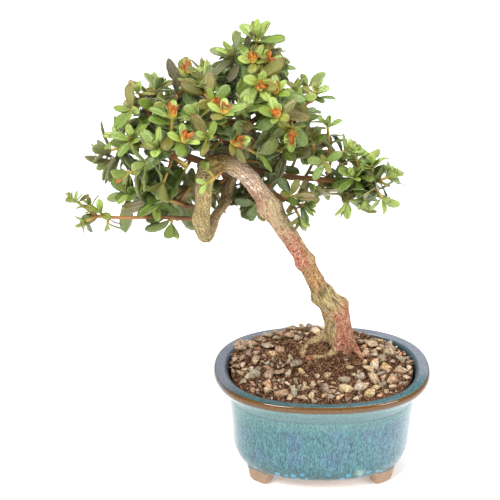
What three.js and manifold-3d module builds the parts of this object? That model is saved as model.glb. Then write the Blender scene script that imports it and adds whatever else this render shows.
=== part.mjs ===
// Satsuki azalea bonsai: a bent trunk with leafy branches, planted in a glazed oval pot.
// Millimetres, +Z up. While the pieces are made, the origin is on the table under the middle of the pot,
// with the front of the pot towards -Y. The finished group is then moved so that its origin is the
// middle of the underside of its bounding box.

import * as THREE from 'three';
import { mergeGeometries, mergeVertices } from 'three/addons/utils/BufferGeometryUtils.js';
import Module from 'manifold-3d';

const wasm = await Module();
wasm.setup();

// ---------------------------------------------------------------- driving dimensions

const gap = 0.35;                      // clearance between pieces that touch

const potDepthRatio = 0.75;            // depth of the oval over its width
const cornerFullness = 0.05;           // how much further out than an ellipse the oval runs at its corners
const potSides = 32;
const potTop = 78;
const footHeight = 8;
const potFloor = 14;                   // height of the inside floor
const drainHole = { x: 24, radius: 5.5 };
const screen = { size: 24, thickness: 1.4, hole: 7, pitch: 10 };

// Half-width and height along the outside of the pot, from the underside to the rim.
const potOutside = [
  [48, footHeight], [53.2, 10.2], [58.2, 15], [61, 22], [62, 35], [64.4, 62.6], [73, 72.3],
  [74.2, 74], [74, 77], [73, potTop],
];
// The same along the inside, from the floor to the inner edge of the rim.
const potInside = [
  [49, potFloor], [56, 24], [57.3, 50], [62.2, 71], [63.6, 76], [64.8, potTop + 1],
];
const foot = { x: 44.5, y: 29, turn: 55, topWidth: 20, bottomWidth: 17, depth: 11, top: 18 };

const soilEdge = { radius: 62.4, height: 75.5, skirt: 2 };
// The soil is heaped up behind the trunk, at its roots and under the stone by the left wall.
const mounds = [
  { x: -10, y: 18, height: 8.5, spread: 30 }, { x: 7, y: 10, height: 6.5, spread: 14 },
  { x: -57, y: 14, height: 3, spread: 7 },
];
const soilRings = [soilEdge.radius, 44, 24];

const leafShape = {
  widthRatio: 0.45,
  thickness: 1,                        // from the flat upper face to the keel, at the widest place
  droop: 0.16,                         // fall of the tip, per length
  // Place along the blade and share of the half-width.
  large: [[0.3, 0.7], [0.6, 1], [0.86, 0.7]],
  small: [[0.4, 0.95], [0.8, 0.86]],
  largeFrom: 21,                       // shorter blades take the small outline
  clearFrom: [0.14, 0.4],              // where a blade has left its own twig and may touch nothing
};
const whorl = 5;                       // twigs are five-sided, with one leaf to a side in each level
const whorlOrder = [0, 2, 4, 1, 3];
const levelHeight = 2.6;
// Facets of the wood: sides of each tube, and stretches between its rings.
const woodFacets = { rise: [10, 27], back: [7, 13], rootSides: 6, limbSides: 6 };
const limbRings = 1.3;                 // stretches between a limb's rings for each stretch of its line
const twigRadius = { base: 1.15, leafy: 1 };
const leafTilts = [0, 12, -12, 24, -24, 36, -36];
// How far the leaves of a shoot rise towards its tip, in degrees: the outer ones first, and how much more
// the inner ones do. Round a flower bud they stay more open.
const leafRise = { outer: 26, inner: 38, roundBud: 26, spread: 12 };
// A flower bud ends the twig: [height over the tip, radius].
const budOutline = [[9, 0.5], [5.5, 2.3], [2, 2]];

const colours = {
  glaze: 0x6d9ea8, soil: 0x4a3526, bark: 0xb59468, leaf: 0x5f7338, paleLeaf: 0x9fb06a, stone: 0xb8a283,
  plastic: 0x2b2b2b,
};

// ---------------------------------------------------------------- the woody skeleton

// Middle line and radius of the trunk: [x, y, z, radius].
const trunkRise = [
  [14, 11, 75, 8], [14, 11, 86, 7.8], [13.2, 11, 92, 8.8], [12, 11, 98, 9.5], [10.7, 10.5, 104, 9.3],
  [9.9, 10, 111, 9.2], [8, 9, 117, 8.9], [4.6, 7.5, 123.5, 7.8], [0.5, 6, 129.5, 6.9], [-4, 3.7, 139, 6.1],
  [-8.4, 2, 149.4, 5.6], [-14.2, -1, 162, 5.8], [-20.4, -4, 174.4, 6], [-27, -8, 187.2, 6.2],
  [-33.5, -12, 199.8, 6.9], [-38, -15, 209, 6.4], [-43.3, -18, 218.3, 5.8], [-49.6, -22, 229.5, 5.7],
  [-56.1, -25, 237, 5.7], [-63.7, -29, 242.9, 5.7], [-71.3, -31, 243.2, 6], [-76.4, -31.5, 238.5, 6.2],
  [-78.3, -31, 229, 5.6], [-79, -30, 219, 5.3], [-80, -28, 207, 5.2], [-79.8, -26, 196.7, 5.2],
  [-78.4, -22.5, 189, 5.2],
];
const trunkReturn = [
  [-79.6, -25.5, 195, 4.8], [-78, -21.5, 188.5, 4.8], [-75.7, -18, 190.5, 4.2], [-73.4, -14, 194.4, 3.7],
  [-70.8, -9, 197.7, 3.4], [-68, -5, 200, 3.2], [-66, -1, 203, 3], [-64.8, 3, 205.6, 3],
  [-63.2, 8, 210, 3.2], [-57, 16, 222, 3.2], [-54, 20, 238, 2.9], [-51, 20, 254, 2.4],
];
// Swellings, knots and pruned stubs raised from the bark: [x, y, z, spread, rise].
const knots = [
  [-29, -15, 208, 4.5, 1.8], [-44, -14, 202, 3.4, 2.8], [-7, -1, 162, 3, 1.8], [-17.6, 0, 156, 3, 1.9],
  [6.4, 5, 135.4, 3, 2.2], [-6, 7, 126, 3.2, 2.8], [15, 8, 123, 4, 2.8], [-85, -27, 203, 3, 1.5],
  [-71, -34, 248, 3, 1.3], [-64, 0, 203, 2.6, 1.8],
];
// Surface roots: middle line and radius, ending under the soil.
const roots = [
  [[8, 13, 96, 5.6], [1.4, 16, 90, 4.2], [-7.6, 12.6, 87.8, 2.9], [-13, 4.6, 84.8, 2.3], [-11.6, 0.6, 80, 2]],
  [[12, 5, 93, 4], [6.6, 0, 88, 2.6], [-0.6, -2.4, 86, 1.9], [-8, -1.2, 84.5, 2], [-13, 2, 81, 1.8]],
  [[16, 10, 95, 5.4], [20, 10, 89.5, 3.8], [23.6, 10, 84.4, 2.6]],
  [[18, 12, 94, 3.8], [23, 11, 86.6, 2.4], [26.4, 6.4, 82.6, 1.7], [27.6, -2.4, 77, 1.4]],
  [[8, 14, 98, 5.2], [3, 19, 91.4, 3.8], [-2, 25, 84, 2.6]],
];

// Each branch: its limbs, as a middle line [x, y, z] with the radius at both ends, and its leafy shoots, as
// [x, y, z, leaf length, leaves, lift, bud]. Lift turns a shoot's tip up, or down where it is negative.
const branches = [
  { name: 'branch_crown', limbs: [{ radius: [2.4, 1.4],
    line: [[-51, 20, 251], [-50, 18, 268], [-47, 13, 284], [-45, 11, 295]] }],
    shoots: [
      [-45, 10, 312, 19, 7, 0.9], [-47, -2, 301, 16, 5, 0.7, true], [-59, 3, 303, 21, 4, 0.4],
      [-39, 0, 300, 16, 4, 0.6, true], [-43, -11, 289, 18, 5, 0.5], [-58, 26, 287, 18, 4, 0.6],
      [-39, 30, 285, 18, 4, 0.6],
    ] },
  { name: 'branch_upper_left', limbs: [{ radius: [2.1, 1.3],
    line: [[-52, 20, 248], [-63, 13, 264], [-76, 5, 277], [-86, -2, 286]] }],
    shoots: [
      [-88, -5, 293, 17, 6, 0.8, true], [-77, 2, 289, 17, 4, 0.7], [-99, -15, 278, 20, 5, 0.5],
      [-72, -24, 282, 16, 5, 0.6, true], [-85, 22, 270, 18, 4, 0.6], [-70, 26, 274, 17, 4, 0.6],
    ] },
  { name: 'branch_front', limbs: [{ radius: [2.1, 1.3],
    line: [[-54, 20, 240], [-58, 3, 249], [-63, -16, 258], [-68, -32, 264]] }],
    shoots: [
      [-75, -46, 268, 17, 5, 0.5], [-60, -42, 263, 16, 5, 0.5], [-82, -34, 275, 17, 5, 0.6],
      [-65, -44, 283, 16, 5, 0.8, true], [-45, -32, 251, 20, 5, 0.4], [-52, -24, 276, 17, 5, 0.7],
    ] },
  { name: 'branch_left', limbs: [
    { radius: [3, 1.4],
      line: [[-61, 12, 215], [-75, 12, 223], [-92, 8, 232], [-107, 1, 240], [-120, -4, 244]] },
    { radius: [1.8, 1.2], line: [[-106, 1, 240], [-109, 1, 254], [-114, -1, 266], [-118, -3, 275]] }],
    shoots: [
      [-132, -8, 252, 15, 5, 0.6], [-139, -2, 240, 21, 5, 0.15], [-124, -25, 259, 15, 6, 0.7],
      [-140, 2, 231, 21, 4, 0.1], [-113, 22, 248, 18, 4, 0.6], [-120, -5, 281, 12, 5, 0.7],
      [-110, 10, 278, 17, 5, 0.7], [-104, -4, 263, 17, 4, 0.6], [-121, 7, 262, 16, 4, 0.6],
    ] },
  { name: 'branch_left_front', limbs: [{ radius: [1.8, 1.2],
    line: [[-90, 8, 232], [-93, -10, 241], [-98, -26, 249], [-101, -36, 252]] }],
    shoots: [
      [-90, -50, 267, 18, 5, 0.6, true], [-106, -45, 261, 18, 5, 0.5], [-97, -40, 278, 16, 5, 0.8, true],
      [-114, -38, 247, 20, 4, 0.2], [-127, -22, 233, 20, 4, 0.2, true], [-104, -30, 230, 21, 4, -0.1],
    ] },
  { name: 'branch_left_low', limbs: [{ radius: [1.8, 1.1],
    line: [[-80, -27, 211], [-90, -20, 209], [-100, -8, 208], [-110, -5, 210], [-118, -9, 212]] }],
    shoots: [
      [-124, -15, 217, 22, 5, 0.1], [-112, -14, 209, 22, 4, -0.4], [-98, 0, 205, 21, 4, -0.4],
      [-89, 9, 203, 20, 4, -0.3], [-99, 14, 220, 19, 4, 0.5],
    ] },
  { name: 'branch_long_low', limbs: [{ radius: [1.6, 1],
    line: [[-81, -25, 202], [-92, -18, 199], [-110, -18, 200], [-130, -19, 200], [-148, -21, 202]] }],
    shoots: [
      [-163, -22, 215, 10, 6, 0.5], [-157, -27, 200, 10, 6, -0.2], [-152, -16, 207, 13, 3, 0.8],
      [-145, -24, 206, 12, 4, 0.4], [-141, -24, 198, 12, 2, -0.8], [-100, -19, 196, 18, 2, -0.8],
    ] },
  { name: 'branch_upper_right', limbs: [{ radius: [2, 1.1],
    line: [[-51, 20, 249], [-39, 8, 261], [-28, 2, 267], [-17, 1, 270], [-9, 2, 273]] }],
    shoots: [
      [-7, 2, 280, 12, 7, 0.8], [-32, -25, 274, 16, 5, 0.6, true], [-33, -13, 284, 16, 5, 0.7, true],
      [-20, 4, 279, 14, 4, 0.7], [-23, -16, 260, 16, 4, 0.2],
    ] },
  { name: 'branch_mid_right', limbs: [{ radius: [2.2, 1.2],
    line: [[-54, 20, 230], [-41, 15, 228], [-26, 9, 232], [-9, 6, 232], [3, 4, 233]] }],
    shoots: [
      [12, 0, 239, 14, 5, 0.6], [-10, -2, 247, 14, 6, 0.7], [1, 4, 254, 12, 5, 0.7],
      [15, 9, 232, 14, 4, 0.4], [-28, -8, 244, 17, 5, 0.5],
    ] },
  { name: 'branch_far_right', limbs: [{ radius: [2.6, 1.2],
    line: [[-57, 16, 222], [-41, 17, 216], [-20, 15, 213], [-3, 12, 213], [14, 8, 212], [30, 2, 215]] }],
    shoots: [
      [43, 2, 220, 14, 6, 0.4], [30, 0, 229, 13, 6, 0.8], [18, -4, 222, 15, 5, 0.5],
      [18, 0, 238, 12, 6, 0.8], [37, -8, 209, 16, 4, -0.1], [14, -4, 205, 21, 2, -0.9],
      [25, -6, 208, 16, 3, -0.6], [4, 22, 221, 14, 3, 0.5], [31, 18, 223, 15, 4, 0.5],
    ] },
  { name: 'branch_low_right', limbs: [{ radius: [1.7, 1.1],
    line: [[-58, 13, 215], [-47, 7, 212], [-34, 0, 208], [-22, -4, 204]] }],
    shoots: [
      [-13, -8, 204, 15, 6, 0.3], [-8, -2, 208, 13, 4, 0.8], [-17, -12, 197, 17, 3, -0.8],
      [-33, 8, 217, 18, 4, 0.4], [-48, 10, 201, 18, 3, -0.4],
    ] },
  { name: 'shoot_on_arch', limbs: [{ radius: [1.5, 1.1],
    line: [[-67, -30, 240], [-69, -37, 239], [-72, -41, 238]] }],
    shoots: [[-77, -45, 236, 11, 6, -0.1], [-76, -42, 244, 10, 4, 0.5]] },
  { name: 'branch_back_left', limbs: [{ radius: [2.1, 1.2],
    line: [[-56, 18, 227], [-70, 31, 236], [-86, 44, 243], [-100, 53, 247]] }],
    shoots: [
      [-111, 58, 254, 18, 5, 0.6], [-97, 60, 260, 18, 4, 0.7], [-83, 48, 260, 18, 4, 0.7],
      [-107, 42, 241, 18, 4, 0.3], [-88, 64, 242, 19, 4, 0.3],
    ] },
  { name: 'branch_back_crown', limbs: [{ radius: [2.1, 1.2],
    line: [[-52, 21, 244], [-51, 36, 256], [-48, 49, 264], [-45, 58, 269]] }],
    shoots: [
      [-43, 65, 279, 18, 5, 0.7], [-59, 56, 279, 18, 4, 0.7], [-33, 54, 275, 18, 4, 0.7],
      [-50, 42, 283, 18, 3, 0.8], [-60, 68, 266, 18, 4, 0.4],
    ] },
  { name: 'branch_back_right', limbs: [{ radius: [2.1, 1.2],
    line: [[-55, 19, 235], [-40, 31, 235], [-29, 38, 233], [-18, 45, 232]] }],
    shoots: [
      [-12, 51, 238, 17, 5, 0.5], [-19, 58, 248, 17, 4, 0.6], [-24, 46, 251, 17, 4, 0.7],
      [-31, 56, 238, 18, 4, 0.3], [-14, 38, 226, 17, 4, 0.2],
    ] },
  { name: 'branch_back_low', limbs: [{ radius: [1.9, 1.2],
    line: [[-60, 11, 214], [-58, 32, 212], [-56, 48, 214]] }],
    shoots: [
      [-56, 60, 221, 18, 5, 0.5], [-71, 52, 215, 19, 4, 0.2], [-41, 52, 217, 19, 4, 0.2],
      [-50, 66, 210, 19, 3, 0],
    ] },
];

// The larger loose stones: [x, y, height of the middle over the soil, half-width, half-depth, half-height, turn].
const stones = [
  [-56.6, 14.5, 3.6, 5.4, 5.4, 6, 20], [-47.5, -16.5, 1.6, 6.6, 4.6, 4.2, 35], [-28, -36.5, 1.8, 6, 4.6, 4.4, 0],
  [15, -31.5, 1.6, 6.4, 4.4, 3.8, -15], [33.5, -19, 2, 7, 5.2, 4.6, -25], [31.5, -36, 1.4, 6.2, 4.2, 3.8, 10],
  [47.5, -20, 1.8, 5.8, 4.6, 4, 30], [43.5, -2.5, 2, 5, 4.4, 4.2, 10], [48.5, 21.5, 2.4, 5.6, 4.4, 4.4, -20],
];
const stoneHollow = 0.6;                // room that a stone's hollow in the soil leaves round it
const grit = { count: 6, seed: 11, reach: [26, 53], size: [2.6, 4.8], turnStep: 137.5 };

// ---------------------------------------------------------------- helpers

const radians = THREE.MathUtils.degToRad;
const vector = (values) => new THREE.Vector3(values[0], values[1], values[2]);
const up = new THREE.Vector3(0, 0, 1);

// A repeatable stream of numbers from 0 to 1.
function drawNumbers(seed) {
  let state = seed >>> 0;
  const draw = () => {
    state = (Math.imul(state, 1664525) + 1013904223) >>> 0;
    return state / 4294967296;
  };
  draw();
  draw();
  return draw;
}

function bareGeometry(geometry) {
  const bare = geometry.clone();
  bare.deleteAttribute('normal');
  bare.deleteAttribute('uv');
  return bare;
}

function solidFrom(geometry) {
  const merged = mergeVertices(bareGeometry(geometry), 1e-4);
  return new wasm.Manifold(new wasm.Mesh({
    numProp: 3,
    vertProperties: new Float32Array(merged.attributes.position.array),
    triVerts: new Uint32Array(merged.index.array),
  }));
}

function largestBody(solid) {
  return solid.decompose().reduce((best, body) => (body.volume() > best.volume() ? body : best));
}

function meshFrom(name, solid, colour, roughness) {
  const { vertProperties, triVerts } = largestBody(solid).simplify(0.01).getMesh();
  const geometry = new THREE.BufferGeometry();
  geometry.setAttribute('position', new THREE.BufferAttribute(vertProperties, 3));
  geometry.setIndex(new THREE.BufferAttribute(triVerts, 1));
  geometry.computeVertexNormals();
  const material = new THREE.MeshStandardMaterial({ color: colour, roughness, metalness: 0 });
  const mesh = new THREE.Mesh(geometry, material);
  mesh.name = name;
  return mesh;
}

// Moves every vertex of a geometry to the place that a function gives for it.
function reshape(geometry, place) {
  const position = geometry.attributes.position;
  const vertex = new THREE.Vector3();
  for (let i = 0; i < position.count; i += 1) {
    vertex.fromBufferAttribute(position, i);
    const moved = place(vertex);
    position.setXYZ(i, moved.x, moved.y, moved.z);
  }
  return geometry;
}

// A capped cylinder bent along a line of points, with a radius at each point. A surface function may give
// what the radius gains at a place. The first ring's first corner lies a quarter turn from the normal.
function bentTube(points, radii, sides, { normal: firstNormal, surface = () => 0 } = {}) {
  const rings = points.length;
  const tangents = points.map((point, i) => {
    const next = points[Math.min(i + 1, rings - 1)];
    const last = points[Math.max(i - 1, 0)];
    return next.clone().sub(last).normalize();
  });
  const frames = [];
  let normal = firstNormal ?? new THREE.Vector3(0, 1, 0);
  for (const tangent of tangents) {
    normal = normal.clone().addScaledVector(tangent, -normal.dot(tangent)).normalize();
    frames.push({ normal, binormal: tangent.clone().cross(normal) });
  }
  const tube = new THREE.CylinderGeometry(1, 1, 1, sides, rings - 1);
  return reshape(tube, (vertex) => {
    const ring = Math.round((0.5 - vertex.y) * (rings - 1));
    const outward = frames[ring].normal.clone().multiplyScalar(vertex.x)
      .addScaledVector(frames[ring].binormal, vertex.z);
    const place = points[ring].clone().addScaledVector(outward, radii[ring]);
    return place.addScaledVector(outward, surface(place));
  });
}

// A smooth tube through [x, y, z, radius] points.
function smoothTube(line, steps, sides, { extra = 0, surface } = {}) {
  const middle = new THREE.CatmullRomCurve3(line.map(vector)).getPoints(steps);
  const sizes = new THREE.CatmullRomCurve3(line.map((point) => new THREE.Vector3(point[3], 0, 0)));
  const radii = middle.map((point, i) => sizes.getPoint(i / steps).x + extra);
  return solidFrom(bentTube(middle, radii, sides, { surface }));
}

function nearestOnLimbs(limbs, target) {
  let best = null;
  for (const limb of limbs) {
    const points = limb.line.map(vector);
    for (let i = 1; i < points.length; i += 1) {
      const place = new THREE.Line3(points[i - 1], points[i])
        .closestPointToPoint(target, true, new THREE.Vector3());
      const distance = place.distanceTo(target);
      if (!best || distance < best.distance) best = { place, distance };
    }
  }
  return best.place;
}

// ---------------------------------------------------------------- pot, soil and stones

// A turned shape squeezed to the pot's oval, which is fuller at its four corners than an ellipse.
function ovalLathe(profile) {
  const outline = profile.map(([radius, height]) => new THREE.Vector2(radius, height));
  const turned = new THREE.LatheGeometry(outline, potSides).rotateX(Math.PI / 2);
  return reshape(turned, ({ x, y, z }) => {
    const fuller = 1 + cornerFullness * Math.sin(2 * Math.atan2(y, x)) ** 2;
    return new THREE.Vector3(x * fuller, y * fuller * potDepthRatio, z);
  });
}

function footBlock(sideX, sideY) {
  const [bottom, top] = [foot.bottomWidth / 2, foot.topWidth / 2];
  const outline = new THREE.Shape([
    new THREE.Vector2(-bottom, 0), new THREE.Vector2(bottom, 0),
    new THREE.Vector2(top, footHeight), new THREE.Vector2(top, foot.top),
    new THREE.Vector2(-top, foot.top), new THREE.Vector2(-top, footHeight),
  ]);
  const block = new THREE.ExtrudeGeometry(outline, { depth: foot.depth, bevelEnabled: false })
    .rotateX(Math.PI / 2)
    .rotateZ(radians(foot.turn - 90))
    .translate(foot.x, foot.y, 0);
  const solid = solidFrom(block);
  const acrossX = sideX < 0 ? solid.mirror([1, 0, 0]) : solid;
  return sideY < 0 ? acrossX.mirror([0, 1, 0]) : acrossX;
}

function drainCutter(sideX, bottom, top, radius) {
  const cutter = new THREE.CylinderGeometry(radius, radius, top - bottom, 16).rotateX(Math.PI / 2);
  return solidFrom(cutter.translate(sideX * drainHole.x, 0, (top + bottom) / 2));
}

function makePot() {
  const outside = solidFrom(ovalLathe([[0, footHeight], ...potOutside, [0, potTop]]));
  const inside = solidFrom(ovalLathe([[0, potFloor], ...potInside, [0, potTop + 1]]));
  let pot = outside;
  for (const sideX of [-1, 1]) {
    for (const sideY of [-1, 1]) pot = pot.add(footBlock(sideX, sideY));
  }
  pot = pot.subtract(inside);
  for (const sideX of [-1, 1]) pot = pot.subtract(drainCutter(sideX, 0, potFloor + 1, drainHole.radius));
  return pot;
}

function screenPlate(sideX, extra = 0) {
  const size = screen.size + 2 * extra;
  const thickness = screen.thickness + extra;
  const plate = new THREE.BoxGeometry(size, size, thickness);
  return solidFrom(plate.translate(sideX * drainHole.x, 0, potFloor + gap + thickness / 2));
}

function makeScreen(sideX) {
  let plate = screenPlate(sideX);
  for (const column of [-1, 1]) {
    for (const row of [-1, 1]) {
      const hole = new THREE.BoxGeometry(screen.hole, screen.hole, 4 * screen.thickness);
      const x = sideX * drainHole.x + column * screen.pitch / 2;
      plate = plate.subtract(solidFrom(hole.translate(x, row * screen.pitch / 2, potFloor + gap)));
    }
  }
  return plate;
}

function soilHeight(x, y) {
  const ripples = 0.7 * Math.sin(x / 5.3 + 1) * Math.cos(y / 4.1) + 0.5 * Math.sin((x + 2 * y) / 7.7);
  return mounds.reduce((height, mound) => {
    const distance = Math.hypot(x - mound.x, y - mound.y) / mound.spread;
    return height + mound.height * Math.exp(-distance * distance / 2);
  }, soilEdge.height + ripples);
}

function makeSoilBody() {
  const skirtTop = soilEdge.height - soilEdge.skirt;
  const wall = potInside.filter(([, height]) => height < skirtTop - 1)
    .map(([radius, height]) => [radius - 0.5, height + 0.4]);
  const surface = soilRings.map((radius) => [radius, soilEdge.height]);
  const profile = [[0, potFloor + gap], ...wall, [soilEdge.radius, skirtTop], ...surface,
    [0, soilEdge.height]];
  return solidFrom(reshape(ovalLathe(profile), (vertex) => {
    const onTop = vertex.z > soilEdge.height - 0.01;
    return onTop ? new THREE.Vector3(vertex.x, vertex.y, soilHeight(vertex.x, vertex.y)) : vertex.clone();
  }));
}

function stoneGeometry(halfSizes, turn, draw) {
  const stone = new THREE.IcosahedronGeometry(1);
  const shared = new Map();
  reshape(stone, (vertex) => {
    const key = vertex.toArray().map((value) => value.toFixed(3)).join();
    if (!shared.has(key)) shared.set(key, 0.86 + 0.28 * draw());
    return vertex.clone().multiplyScalar(shared.get(key));
  });
  return stone.scale(halfSizes[0], halfSizes[1], halfSizes[2]).rotateZ(radians(turn));
}

function makeGrit() {
  const draw = drawNumbers(grit.seed);
  const between = ([low, high], share) => low + (high - low) * share;
  const grains = [];
  for (let i = 0; i < grit.count; i += 1) {
    const angle = radians(i * grit.turnStep);
    const reach = between(grit.reach, Math.sqrt(draw()));
    const [x, y] = [reach * Math.cos(angle), reach * Math.sin(angle) * potDepthRatio];
    const size = between(grit.size, draw());
    const shape = stoneGeometry([size * 1.2, size, size * 0.85], 360 * draw(), draw);
    grains.push(solidFrom(shape.translate(x, y, soilHeight(x, y) + size * 0.2)));
  }
  return wasm.Manifold.union(grains);
}

function makeStones() {
  return stones.map(([x, y, seat, halfWidth, halfDepth, halfHeight, turn], i) => {
    const place = [x, y, soilHeight(x, y) + seat];
    const shape = (extra) => stoneGeometry([halfWidth + extra, halfDepth + extra, halfHeight + extra],
      turn, drawNumbers(300 + i));
    return {
      solid: solidFrom(shape(0).translate(...place)),
      hollow: solidFrom(shape(stoneHollow).translate(...place)),
    };
  });
}

// ---------------------------------------------------------------- trunk

function knotRise(place) {
  return knots.reduce((rise, [x, y, z, spread, height]) => {
    const distance = Math.hypot(place.x - x, place.y - y, place.z - z) / spread;
    return rise + height * Math.exp(-distance * distance / 2);
  }, 0);
}

function makeTrunk(extra = 0) {
  const stem = (line, [sides, steps]) => smoothTube(line, steps, sides, { extra, surface: knotRise });
  const surfaceRoots = roots.map((root) => smoothTube(root, root.length, woodFacets.rootSides, { extra }));
  return wasm.Manifold.union([
    stem(trunkRise, woodFacets.rise), stem(trunkReturn, woodFacets.back), ...surfaceRoots,
  ]);
}

// ---------------------------------------------------------------- leafy branches

// The tip, the direction and the leaves of each shoot, before they are set against their neighbours.
function readShoot(branch, shoot, seed) {
  const [x, y, z, leafLength, leafCount, lift, hasBud = false] = shoot;
  const tip = new THREE.Vector3(x, y, z);
  const start = nearestOnLimbs(branch.limbs, tip);
  const aim = tip.clone().sub(start).normalize().addScaledVector(up, lift).normalize();
  const side = Math.abs(aim.z) < 0.95 ? up.clone().cross(aim).normalize() : new THREE.Vector3(1, 0, 0);
  const across = aim.clone().cross(side).normalize();
  const draw = drawNumbers(seed);
  const firstTurn = 360 * draw();
  const leaves = [];
  for (let i = 0; i < leafCount; i += 1) {
    const inner = i / (leafCount - 1);
    const facet = whorlOrder[i % whorl];
    leaves.push({
      facet,
      level: Math.floor(i / whorl),
      turn: firstTurn + facet * 360 / whorl + 16 * (draw() - 0.5),
      tilt: leafRise.outer + (hasBud ? leafRise.roundBud : leafRise.inner) * inner
        + leafRise.spread * (draw() - 0.5),
      length: leafLength * (1 - 0.34 * inner) * (0.9 + 0.2 * draw()),
      roll: 24 * (draw() - 0.5),
    });
  }
  const levels = leaves[leaves.length - 1].level + 1;
  for (const leaf of leaves) {
    leaf.below = levels - 1 - leaf.level;
    leaf.base = tip.clone().addScaledVector(aim, -(leaf.below + 0.35) * levelHeight);
  }
  return { start, tip, aim, side, across, firstTurn, levels, leaves, hasBud };
}

function towards(shoot, degrees) {
  const turn = radians(degrees);
  return shoot.side.clone().multiplyScalar(Math.cos(turn)).addScaledVector(shoot.across, Math.sin(turn));
}

// The directions of a blade: along its midrib, out of its upper face and towards one edge.
function bladeFrame(shoot, leaf, tiltChange) {
  const [tilt, roll] = [radians(leaf.tilt + tiltChange), radians(leaf.roll)];
  const outward = towards(shoot, leaf.turn);
  const along = outward.clone().multiplyScalar(Math.cos(tilt)).addScaledVector(shoot.aim, Math.sin(tilt));
  const level = shoot.aim.clone().multiplyScalar(Math.cos(tilt)).addScaledVector(outward, -Math.sin(tilt));
  const levelEdge = level.clone().cross(along);
  const face = level.clone().multiplyScalar(Math.cos(roll)).addScaledVector(levelEdge, Math.sin(roll));
  return { along, face, edge: face.clone().cross(along) };
}

// A three-sided cone bent to a blade: flat above, with a keel under the midrib. Its foot has the three
// given corners, or is closed where none are given. Extra grows the blade on all sides.
function bladeGeometry(shoot, leaf, tiltChange, { corners, extra = 0 } = {}) {
  const { along, face, edge } = bladeFrame(shoot, leaf, tiltChange);
  const outline = leaf.length > leafShape.largeFrom ? leafShape.large : leafShape.small;
  const stations = [leafShape.clearFrom, ...outline, [1, 0]];
  const last = stations.length - 1;
  const blade = new THREE.ConeGeometry(1, 1, 3, last, corners !== undefined);
  return reshape(blade, (vertex) => {
    const row = Math.round((vertex.y + 0.5) * last);
    const [place, share] = stations[row];
    const onMiddle = Math.hypot(vertex.x, vertex.z) < 1e-6;
    const corner = (Math.round(Math.atan2(vertex.x, vertex.z) * 1.5 / Math.PI) + 3) % 3;
    if (row === 0 && corners) return corners[corner].clone();
    const halfWidth = share * leaf.length * leafShape.widthRatio / 2 + extra;
    const thick = corner === 1 ? -share * leafShape.thickness - extra : extra;
    const spine = leaf.base.clone()
      .addScaledVector(along, place * leaf.length + (row === last ? extra : 0))
      .addScaledVector(face, -leafShape.droop * leaf.length * place * place);
    if (onMiddle) return spine;
    return spine.addScaledVector(edge, (corner - 1) * halfWidth).addScaledVector(face, thick);
  });
}

function bladeSolid(shoot, leaf, tiltChange, extra) {
  return solidFrom(bladeGeometry(shoot, leaf, tiltChange, { extra }));
}

function budLine(shoot) {
  return budOutline.map(([height]) => shoot.tip.clone().addScaledVector(shoot.aim, height));
}

function budSolid(shoot) {
  return solidFrom(bentTube(budLine(shoot), budOutline.map(([, radius]) => radius), whorl));
}

// The twig of a shoot, from its bud or tip down to its start, as one five-sided tube.
function twigGeometry(shoot, extra = 0) {
  const { start, tip, aim, levels, hasBud } = shoot;
  const leafy = Array.from({ length: levels + 1 }, (_, ring) => (
    tip.clone().addScaledVector(aim, -ring * levelHeight)));
  const budRadii = hasBud ? budOutline.map(([, radius]) => radius) : [];
  const radii = [...budRadii, ...leafy.map(() => twigRadius.leafy), twigRadius.base];
  const points = [...(hasBud ? budLine(shoot) : []), ...leafy, start];
  const normal = towards(shoot, shoot.firstTurn + 90 - 180 / whorl);
  return bentTube(points, radii.map((radius) => radius + extra), whorl, { normal });
}

// The twig with a blade raised from one triangle of the side that each leaf grows on.
function shootSolid(shoot) {
  const twig = bareGeometry(twigGeometry(shoot));
  const budSegments = shoot.hasBud ? budOutline.length : 0;
  const segments = budSegments + shoot.levels + 1;
  const position = twig.attributes.position;
  const index = Array.from(twig.index.array);
  const blades = [];
  const opened = new Set();
  for (const leaf of shoot.leaves.filter(({ tiltChange }) => tiltChange !== undefined)) {
    const first = (leaf.facet * segments + budSegments + leaf.below) * 6;
    const corners = [0, 1, 2].map((i) => new THREE.Vector3().fromBufferAttribute(position, index[first + i]));
    blades.push(bareGeometry(bladeGeometry(shoot, leaf, leaf.tiltChange, { corners })));
    opened.add(first);
  }
  twig.setIndex(index.filter((_, i) => !opened.has(i - i % 3)));
  return solidFrom(mergeGeometries([twig, ...blades]));
}

function limbTube(limb, extra = 0) {
  const last = limb.line.length - 1;
  const [thick, thin] = limb.radius;
  const line = limb.line.map((point, i) => [...point, thick + (thin - thick) * i / last]);
  return smoothTube(line, Math.ceil(last * limbRings), woodFacets.limbSides, { extra });
}

function bareWood(branch, extra) {
  const twigs = branch.plan.map((shoot) => solidFrom(twigGeometry(shoot, extra)));
  return wasm.Manifold.union([...branch.limbs.map((limb) => limbTube(limb, extra)), ...twigs]);
}

function boxesMeet(a, b) {
  return [0, 1, 2].every((axis) => a.min[axis] <= b.max[axis] && b.min[axis] <= a.max[axis]);
}

function crosses(solid, obstacles) {
  const box = solid.boundingBox();
  return obstacles.some((other) => boxesMeet(box, other.box) && !solid.intersect(other.solid).isEmpty());
}

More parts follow.
